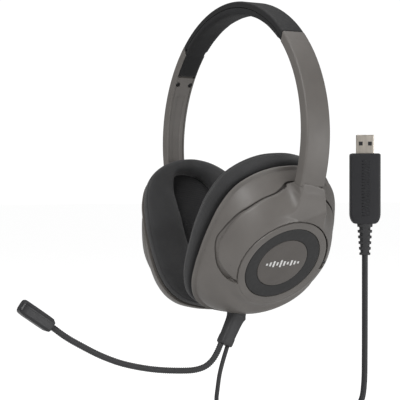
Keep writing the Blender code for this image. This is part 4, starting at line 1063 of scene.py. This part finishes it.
def cushion_profile(angles, amount):
    full = fullness(angles, amount)
    outer, inner = rim_radius(angles) + 0.7, opening(angles)
    outer = outer + 1.7 * full
    low, high = cushion_low(full), -2.55
    middle, half = (outer + inner) / 2, (outer - inner) / 2
    profile = [(outer - 2.4, high), (outer - 0.9, high - 0.15), (outer - 0.1, high - 0.8),
               (outer + 0.35, high - 1.8)]
    for share in np.linspace(0.12, 0.55, 5):
        profile.append((outer + 0.35 + 0.45 * math.sin(math.pi * share),
                        high - 1.8 - (-low - 6.3) * share))
    # outer seam
    profile += [(outer + 0.45, low + 4.35), (outer + 0.05, low + 4.05),
                (outer + 0.18, low + 3.75)]
    # over the face that meets the ear, from outside to inside
    for turn in np.radians(np.linspace(8, 90, 11)):
        profile.append((middle + half * math.cos(turn) ** 0.75,
                        low + 3.7 * (1 - math.sin(turn) ** 0.95)))
    for turn in np.radians(np.linspace(98, 172, 10)):
        profile.append((middle - half * (-math.cos(turn)) ** 0.78,
                        low + 4.6 * (1 - math.sin(turn) ** 0.95)))
    return profile + [(inner - 0.25, low + 5.2), (inner - 0.1, low + 6.6),
                      (inner + 0.5, high - 1.6), (inner + 1.2, high - 0.5), (inner + 2.2, high)]


def swell(part, pinned):
    """Cloth with a light pressure, so that the cover bulges between its seams."""
    frames = 18
    group = part.vertex_groups.new(name="pin")
    group.add(pinned.tolist(), 1.0, "REPLACE")
    rest = read_points(part.data)
    modifier = part.modifiers.new("cloth", "CLOTH")
    cloth = modifier.settings
    cloth.quality = 6
    cloth.mass = 0.2
    cloth.tension_stiffness = cloth.compression_stiffness = 22
    cloth.shear_stiffness = 12
    cloth.bending_stiffness = 0.4
    cloth.use_pressure = True
    cloth.uniform_pressure_force = 4.0
    cloth.vertex_group_mass = "pin"
    cloth.shrink_min = -0.035
    cloth.effector_weights.gravity = 0
    modifier.collision_settings.use_collision = False
    modifier.point_cache.frame_start = 1
    modifier.point_cache.frame_end = frames
    for f in range(1, frames + 1):
        scene.frame_set(f)
    graph = bpy.context.evaluated_depsgraph_get()
    move = read_points(part.evaluated_get(graph).to_mesh()) - rest
    part.evaluated_get(graph).to_mesh_clear()
    part.modifiers.remove(modifier)
    part.vertex_groups.clear()
    # the cover is drawn smooth over its foam: only the broad bulge is kept
    edges = np.empty(len(part.data.edges) * 2, dtype=np.int64)
    part.data.edges.foreach_get("vertices", edges)
    starts, ends = edges[0::2], edges[1::2]
    count = np.bincount(edges, minlength=len(move)).astype(float)[:, None]
    for _ in range(60):
        total = np.zeros_like(move)
        np.add.at(total, starts, move[ends])
        np.add.at(total, ends, move[starts])
        move = 0.35 * move + 0.65 * total / np.maximum(count, 1.0)
    length = np.linalg.norm(move, axis=1)
    longest = 0.0010    # metres
    scale = np.where(length > longest, longest / np.maximum(length, 1e-9), 1.0)
    scene.frame_set(1)
    return rest + move * scale[:, None]


def pinned_points(part, side, amount):
    """Vertices on the outer seam and on the back of the cushion."""
    offset = mirrored(read_points(part.data) / MM, side) - CUP_CENTRE
    rear, rise, out = offset @ CUP_REAR, offset @ CUP_RISE, offset @ CUP_OUT
    angles = np.degrees(np.arctan2(rise, rear))
    seam_out = cushion_low(fullness(angles, amount)) + 4.05
    seam = (np.abs(out - seam_out) < 0.18) & (np.hypot(rear, rise) > rim_radius(angles) - 2)
    return np.where(seam | (out > -2.9))[0]


def cushion(side, tag):
    angles = np.linspace(0, 360, 168, endpoint=False)
    amount = 1.0 if side > 0 else 0.15      # the left cushion is the fuller
    # soft, uneven puckers beside the seam
    turn = np.radians(angles)
    pucker = (np.sin(turn * 23 + 1.3 * np.sin(turn * 5)) * 0.5
              + np.sin(turn * 37 + 2.0) * 0.3)
    profile = [(radius + 0.05 * pucker * np.exp(-((i - 13.0) / 2.2) ** 2), out)
               for i, (radius, out) in enumerate(cushion_profile(angles, amount))]
    part = lathe(f"{tag}_ear_cushion_cover", angles, profile, CUSHION_CLOTH, 0, side, loop=True)
    swollen = swell(part, pinned_points(part, side, amount))
    part.data.vertices.foreach_set("co", swollen.reshape(-1))
    part.data.update()
    finer = part.modifiers.new("fine", "SUBSURF")
    finer.levels = finer.render_levels = 1
    register(part, "cushion", f"{tag}_cup", f"{tag}_ear_cushion")


def screen_cloth(side, tag):
    """Rippled cloth inside the cushion's opening."""
    angles = np.linspace(0, 360, 96, endpoint=False)
    edge = opening(angles) + 1.6
    # share of the edge's radius, out
    stations = ((0.0, -2.75), (0.22, -2.72), (0.45, -2.66), (0.65, -2.58), (0.8, -2.48),
                (0.92, -2.36), (1.0, -2.28), (1.0, -2.16), (0.0, -2.16))
    profile = [(share * edge, out + 0.06 * np.sin(share * edge * 0.9 + np.radians(angles) * 3))
               for share, out in stations]
    part = lathe(f"{tag}_screen_cloth", angles, profile, SCREEN_CLOTH, 60, side)
    register(part, "screen", f"{tag}_cup", f"{tag}_acoustic_screen")


for side, tag in SIDES:
    cup_shell(side, tag)
    badge(side, tag)
    cushion(side, tag)
    screen_cloth(side, tag)


# ------------------------------------------------------------------ boom
def boom_boot():
    length = float(np.linalg.norm(BOOT_TIP - BOOT_TOP))
    axis = unit(BOOT_TIP - BOOT_TOP)
    forward = unit(np.cross(axis, np.array([1.0, 0.0, 0.0])))
    axes = (axis, forward, np.cross(forward, axis))
    # distance from the top, half size fore and aft, half size sideways
    stations = (
        (0.0, 4.6, 4.2), (1.2, 4.9, 4.5), (2.4, 5.3, 4.7), (3.3, 5.75, 5.0), (3.9, 5.8, 5.05),
        (4.6, 5.55, 4.9), (5.6, 5.2, 4.65), (7.0, 5.0, 4.45), (9.0, 4.85, 4.3),
        (14.0, 4.65, 4.1), (17.5, 4.55, 4.0), (18.2, 4.75, 4.15), (length - 1.6, 4.8, 4.2),
        (length - 0.6, 4.7, 4.1), (length - 0.15, 4.4, 3.8), (length, 4.0, 3.4))
    turn = circle(48)
    across, outward = signed_power(np.cos(turn), 0.62), signed_power(np.sin(turn), 0.62)
    rings = [placed(BOOT_TOP, axes, along, half_fore * across, half_side * outward)
             for along, half_fore, half_side in stations]
    part = tube("boom_boot_skin", rings, RUBBER, 35)
    register(part, "rubber", "left_cup", "boom_boot")


def gooseneck():
    """Spirally ribbed tube, in two halves."""
    coarse, length = smooth_path(BOOM, 61)
    path, _ = smooth_path(BOOM, int(length / 0.22))
    # the tube starts inside its boot and ends inside the microphone
    back, ahead = unit(path[0] - path[1]), unit(path[-1] - path[-2])
    path = np.concatenate([path[:1] + back * 2.0, path[:1] + back * 1.0, path,
                           path[-1:] + ahead * 0.6])
    along = np.r_[0, np.cumsum(np.linalg.norm(np.diff(path, axis=0), axis=1))]
    rib_pitch = 1.3
    spiral = 2 * math.pi * along[:, None] / rib_pitch + circle(16)[None, :]
    rings = round_rings(path, 1.84 + 0.15 * np.cos(spiral))
    middle = int(len(path) * 29.5 / 61)
    # name, its rings, the nodes at its two ends, two coarse points, pieces replaced
    halves = (
        ("boom_tube_rear", rings[:middle + 1], "left_cup", "boom_middle", 15, 23,
         ["gooseneck_root"]),
        ("boom_tube_front", rings[middle:], "boom_middle", "boom_tip", 35, 43,
         ["gooseneck_middle", "gooseneck_tip"]))
    for name, part_rings, from_node, to_node, start, end, replaced in halves:
        part = tube(name, part_rings, RUBBER, 70)
        register(part, "rubber", None, *replaced)
        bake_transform(part)


def microphone():
    length = float(np.linalg.norm(MIC_TIP - MIC_REAR))
    axis = unit(MIC_TIP - MIC_REAR)
    sideways = unit(np.cross([0.0, 0.0, 1.0], axis))
    axes = (axis, sideways, np.cross(axis, sideways))
    # section: flat sides, a narrow top facet and bevelled lower edges; across, up
    corners = np.array([(-2.9, 4.3), (-0.6, 4.55), (3.9, 2.7), (4.3, 1.5), (4.3, -2.9),
                        (3.1, -4.4), (-3.1, -4.4), (-4.3, -2.6), (-4.3, 1.4), (-3.9, 3.2)])
    section = []
    for before, corner, after in zip(np.roll(corners, 1, 0), corners, np.roll(corners, -1, 0)):
        section += [corner + (before - corner) * 0.10, corner]
        section += [corner + (after - corner) * share for share in (0.10, 0.35, 0.65)]
    section = np.array(section)
    # distance from the rear on a 22.9 long body, scale of the section, lift
    stations = ((0.0, 0.70, 0.3), (0.2, 0.82, 0.2), (0.8, 0.93, 0.1), (2.2, 0.98, 0.0),
                (7.0, 1.0, 0.0), (12.0, 1.0, 0), (18.0, 1.0, 0.0), (20.8, 0.97, 0.1),
                (22.0, 0.90, 0.2), (22.7, 0.76, 0.3), (22.9, 0.62, 0.4))
    split, half_gap = 0.9, 0.06     # height of the joint between the halves, half its gap
    for name, is_upper in (("mic_housing_upper", True), ("mic_housing_lower", False)):
        rings = []
        for along, scale, lift in stations:
            height = section[:, 1] * scale + lift
            if is_upper:
                height = np.maximum(height, split + half_gap)
            else:
                height = np.minimum(height, split - half_gap)
            rings.append(placed(MIC_REAR, axes, along / 22.9 * length,
                                section[:, 0] * scale, height))
        part = tube(f"{name}_skin", rings, MIC_BLACK, 24)
        register(part, "plug_body", "boom_tip", name)
    # sound slots on the face towards the mouth, drawn as matt black patches: painted shade of
    # their openings
    slots = [((11.0 + 1.9 * i, -0.8, 4.28), (0.7, 2.6, 0.1)) for i in range(4)]
    part = boxes("mic_sound_slots", slots,
                 lambda along, up, inward: placed(MIC_REAR, axes, along, -inward, up),
                 INNER_BLACK)
    register(part, "inner", "boom_tip")


boom_boot()
gooseneck()
microphone()


# ------------------------------------------------------------------ lead and plug
def lead():
    """Cable, thickening from the boot to the plug."""
    count = 420
    thin, thick = 1.35, 2.05
    path, _ = smooth_path(LEAD, count)
    along = np.arange(count) / (count - 1) * 55
    radius = thin + (thick - thin) * np.clip((along - 10) / 22, 0, 1)
    path = np.concatenate([path[:1] + unit(path[0] - path[1]) * 2.2, path])
    radius = np.r_[radius[:1], radius]
    part = tube("lead", round_rings(path, np.repeat(radius[:, None], 18, 1)), CABLE, 40)
    register(part, "rubber", "left_cup", "cable")


def on_plug(x, y, z):
    """Point of the plug: x across the broad face, y out of its front, z up."""
    return placed(PLUG_AT, PLUG_AXES, z, x, y)


def plug_body():
    """Two halves that narrow in a quarter round at the base."""
    round_height, round_in = 7.2, 5.4
    # height, inset, narrowing
    stations = [(PLUG_TOP, 0.9, 0), (PLUG_TOP - 0.25, 0.35, 0), (PLUG_TOP - 0.8, 0.05, 0),
                (PLUG_TOP - 1.6, 0, 0)]
    stations += [(z, 0, 0) for z in np.linspace(PLUG_TOP - 4, PLUG_BASE + 9.0, 14)]
    for turn in np.linspace(0.08, 1, 14) * math.pi / 2:
        stations.append((PLUG_BASE + round_height - round_height * math.sin(turn), 0.0,
                         round_in * (1 - math.cos(turn))))
    for name, is_front in (("usb_body_front", True), ("usb_body_back", False)):
        rings = []
        for z, inset, narrowing in stations:
            width = PLUG_WIDTH - 2 * inset - 2 * narrowing * 0.74
            x, depth = rounded(width, PLUG_THICK, 1.5, inset=inset * 0.6).T
            y = (depth - PLUG_THICK / 2) * (1 - 0.14 * smooth01(narrowing / round_in))
            y = np.maximum(y, 0.07) if is_front else np.minimum(y, -0.07)
            rings.append(on_plug(x, y, z))
        part = tube(f"{name}_skin", rings, PLUG_BLACK, 30)
        register(part, "plug_body", "left_cup", name)


def plug_ribs():
    """Grip ribs down the middle of the broad faces."""
    for sign, name in ((1, "front"), (-1, "back")):
        ribs = [((0.0, sign * PLUG_THICK / 2, PLUG_TOP - 5.5 - i * 2.05),
                 (5.4, sign * 0.44, 0.95)) for i in range(19)]
        part = boxes(f"usb_grip_ribs_{name}", ribs, on_plug, PLUG_BLACK, bevel=0.16)
        part.data.shade_smooth()
        register(part, "plug_body", "left_cup")


def plug_shell():
    """Metal tube with two latch windows on each broad face, and a black patch over each that
    paints the shade inside the window.
    """
    # width, thickness, height, corner radius; up the outside, then down the inside
    stations = [(12.0, 4.5, z, 0.55) for z in (-88.6, -86.0, -80.0, -74.0, -73.6)]
    stations += [(11.8, 4.3, -73.35, 0.5), (11.5, 4.0, -73.3, 0.4), (11.3, 3.8, -73.5, 0.35),
                 (11.3, 3.8, -88.6, 0.35)]
    rings = []
    for width, thick, z, radius in stations:
        x, depth = rounded(width, thick, radius, steps=5).T
        rings.append(on_plug(x, depth - thick / 2, z))
    part = tube("usb_shell_skin", rings, PLATED, 30, closed=True)
    for x in (-3.05, 3.05):
        cut(boxes("cut", [((x, 0.0, -79.5), (2.3, 9, 2.3))], on_plug), part)
    register(part, "plug_metal", "left_cup", "usb_shell")
    # black patches over the latch windows: painted shade of the openings
    window_shades = [((x, face * 2.27, -79.3), (2.7, 0.14, 2.7))
             for face in (1, -1) for x in (-3.15, 3.15)]
    part = boxes("usb_latch_wells", window_shades, on_plug, INNER_BLACK, bevel=0.03, narrow=0.8)
    register(part, "inner", "left_cup")


def strain_relief():
    """Tapered sleeve with five rows of slots on its narrow sides."""
    count = 150
    top, tail = PLUG_BASE + 0.1, -155.6
    turn = circle(64)
    across, outward = np.cos(turn), np.sin(turn)
    rings = []
    for k in range(count + 1):
        share = k / count
        z = top + (tail - top) * share
        half_width, half_thick = 5.3 - 1.6 * share, 3.9 - 0.9 * share
        slot = np.zeros(64)
        for j in range(5):
            slot_z = PLUG_BASE - 3.2 - 3.9 * j
            inside = smooth01((0.95 - abs(z - slot_z)) / 0.25 + 0.5)
            depth = 1.25 - 0.1 * j
            slot = np.maximum(slot, inside * depth * smooth01((np.abs(across) - 0.30) / 0.12))
        if k in (0, count):
            slot = slot + 0.3       # eased ends
        rings.append(on_plug((half_width - slot) * signed_power(across, 0.75),
                             (half_thick - slot * 0.75) * signed_power(outward, 0.75), z))
    part = tube("strain_relief_skin", rings, RUBBER, 40)
    register(part, "rubber", "left_cup", "usb_strain_relief")


lead()
plug_body()
plug_ribs()
plug_shell()
strain_relief()


# ------------------------------------------------------------------ stage, in metres
def camera_switch(tree, others, camera):
    """One value for rays from the camera, another for all the rest."""
    rays = add_node(tree, "LightPath", {}).outputs["Is Camera Ray"]
    return add_node(tree, "MapRange", {"To Min": others, "To Max": camera,
                                       "Value": rays}).outputs["Result"]


def floor_plane():
    work = bmesh.new()
    bmesh.ops.create_grid(work, x_segments=2, y_segments=2, size=14.0)
    for vert in work.verts:
        vert.co.z = -0.2765
    floor = from_bmesh("floor", work)
    material, tree, shader, coords = new_material("pale_floor")
    plug(shader, {
        "Base Color": ramp(tree, noise(tree, coords, scale=8.0, detail=2.0),
                           low=0.50, high=0.52),
        "Roughness": 0.9,
        "Specular IOR Level": 0.05,
        "Emission Color": (1, 1, 1, 1),
        "Emission Strength": camera_switch(tree, others=0.30, camera=0.86)})
    floor.data.materials.append(material)


def studio_world():
    world = bpy.data.worlds.new("studio")
    scene.world = world
    world.use_nodes = True
    tree = world.node_tree
    plug(tree.nodes["Background"], {
        "Color": (1, 1, 1, 1),
        "Strength": camera_switch(tree, others=0.24, camera=1.05)})


CAMERA_AT = Vector((0.7338, -0.5152, -0.1111))
FORWARD = Vector((-0.8350, 0.5501, -0.0071)).normalized()
RIGHT = Vector((0.5501, 0.8350, 0.0)).normalized()
CENTRE = Vector((0.0, 0.0, -0.11))


def area_light(name, at, size, power):
    """Rectangular light aimed at the centre."""
    light = bpy.data.lights.new(name, "AREA")
    light.shape = "RECTANGLE"
    light.size, light.size_y = size
    light.energy = power
    part = new_object(name, light)
    part.location = at
    part.rotation_euler = (CENTRE - Vector(at)).to_track_quat("-Z", "Y").to_euler()


def add_camera():
    """Long lens at the wearer's front left."""
    camera = bpy.data.cameras.new("camera")
    camera.lens = 126.0
    camera.sensor_width = 36.0
    camera.sensor_fit = "HORIZONTAL"
    camera.clip_start, camera.clip_end = 0.05, 30
    part = new_object("camera", camera)
    upward = RIGHT.cross(FORWARD).normalized()
    turn = Matrix((RIGHT, upward, -FORWARD)).transposed()
    part.matrix_world = Matrix.Translation(CAMERA_AT) @ turn.to_4x4()
    scene.camera = part


floor_plane()
studio_world()
area_light("key", CENTRE - FORWARD * 0.85 - RIGHT * 0.45 + Vector((0, 0, 0.65)),
           size=(0.6, 0.6), power=6.6)
area_light("fill", CENTRE - FORWARD * 0.7 + RIGHT * 1.0 + Vector((0, 0, -0.03)),
           size=(0.7, 0.26), power=3.9)
area_light("top", CENTRE + FORWARD * 0.1 + Vector((0, 0, 1.1)), size=(1.0, 1.0), power=5)
add_camera()
scene.view_settings.view_transform = "Standard"
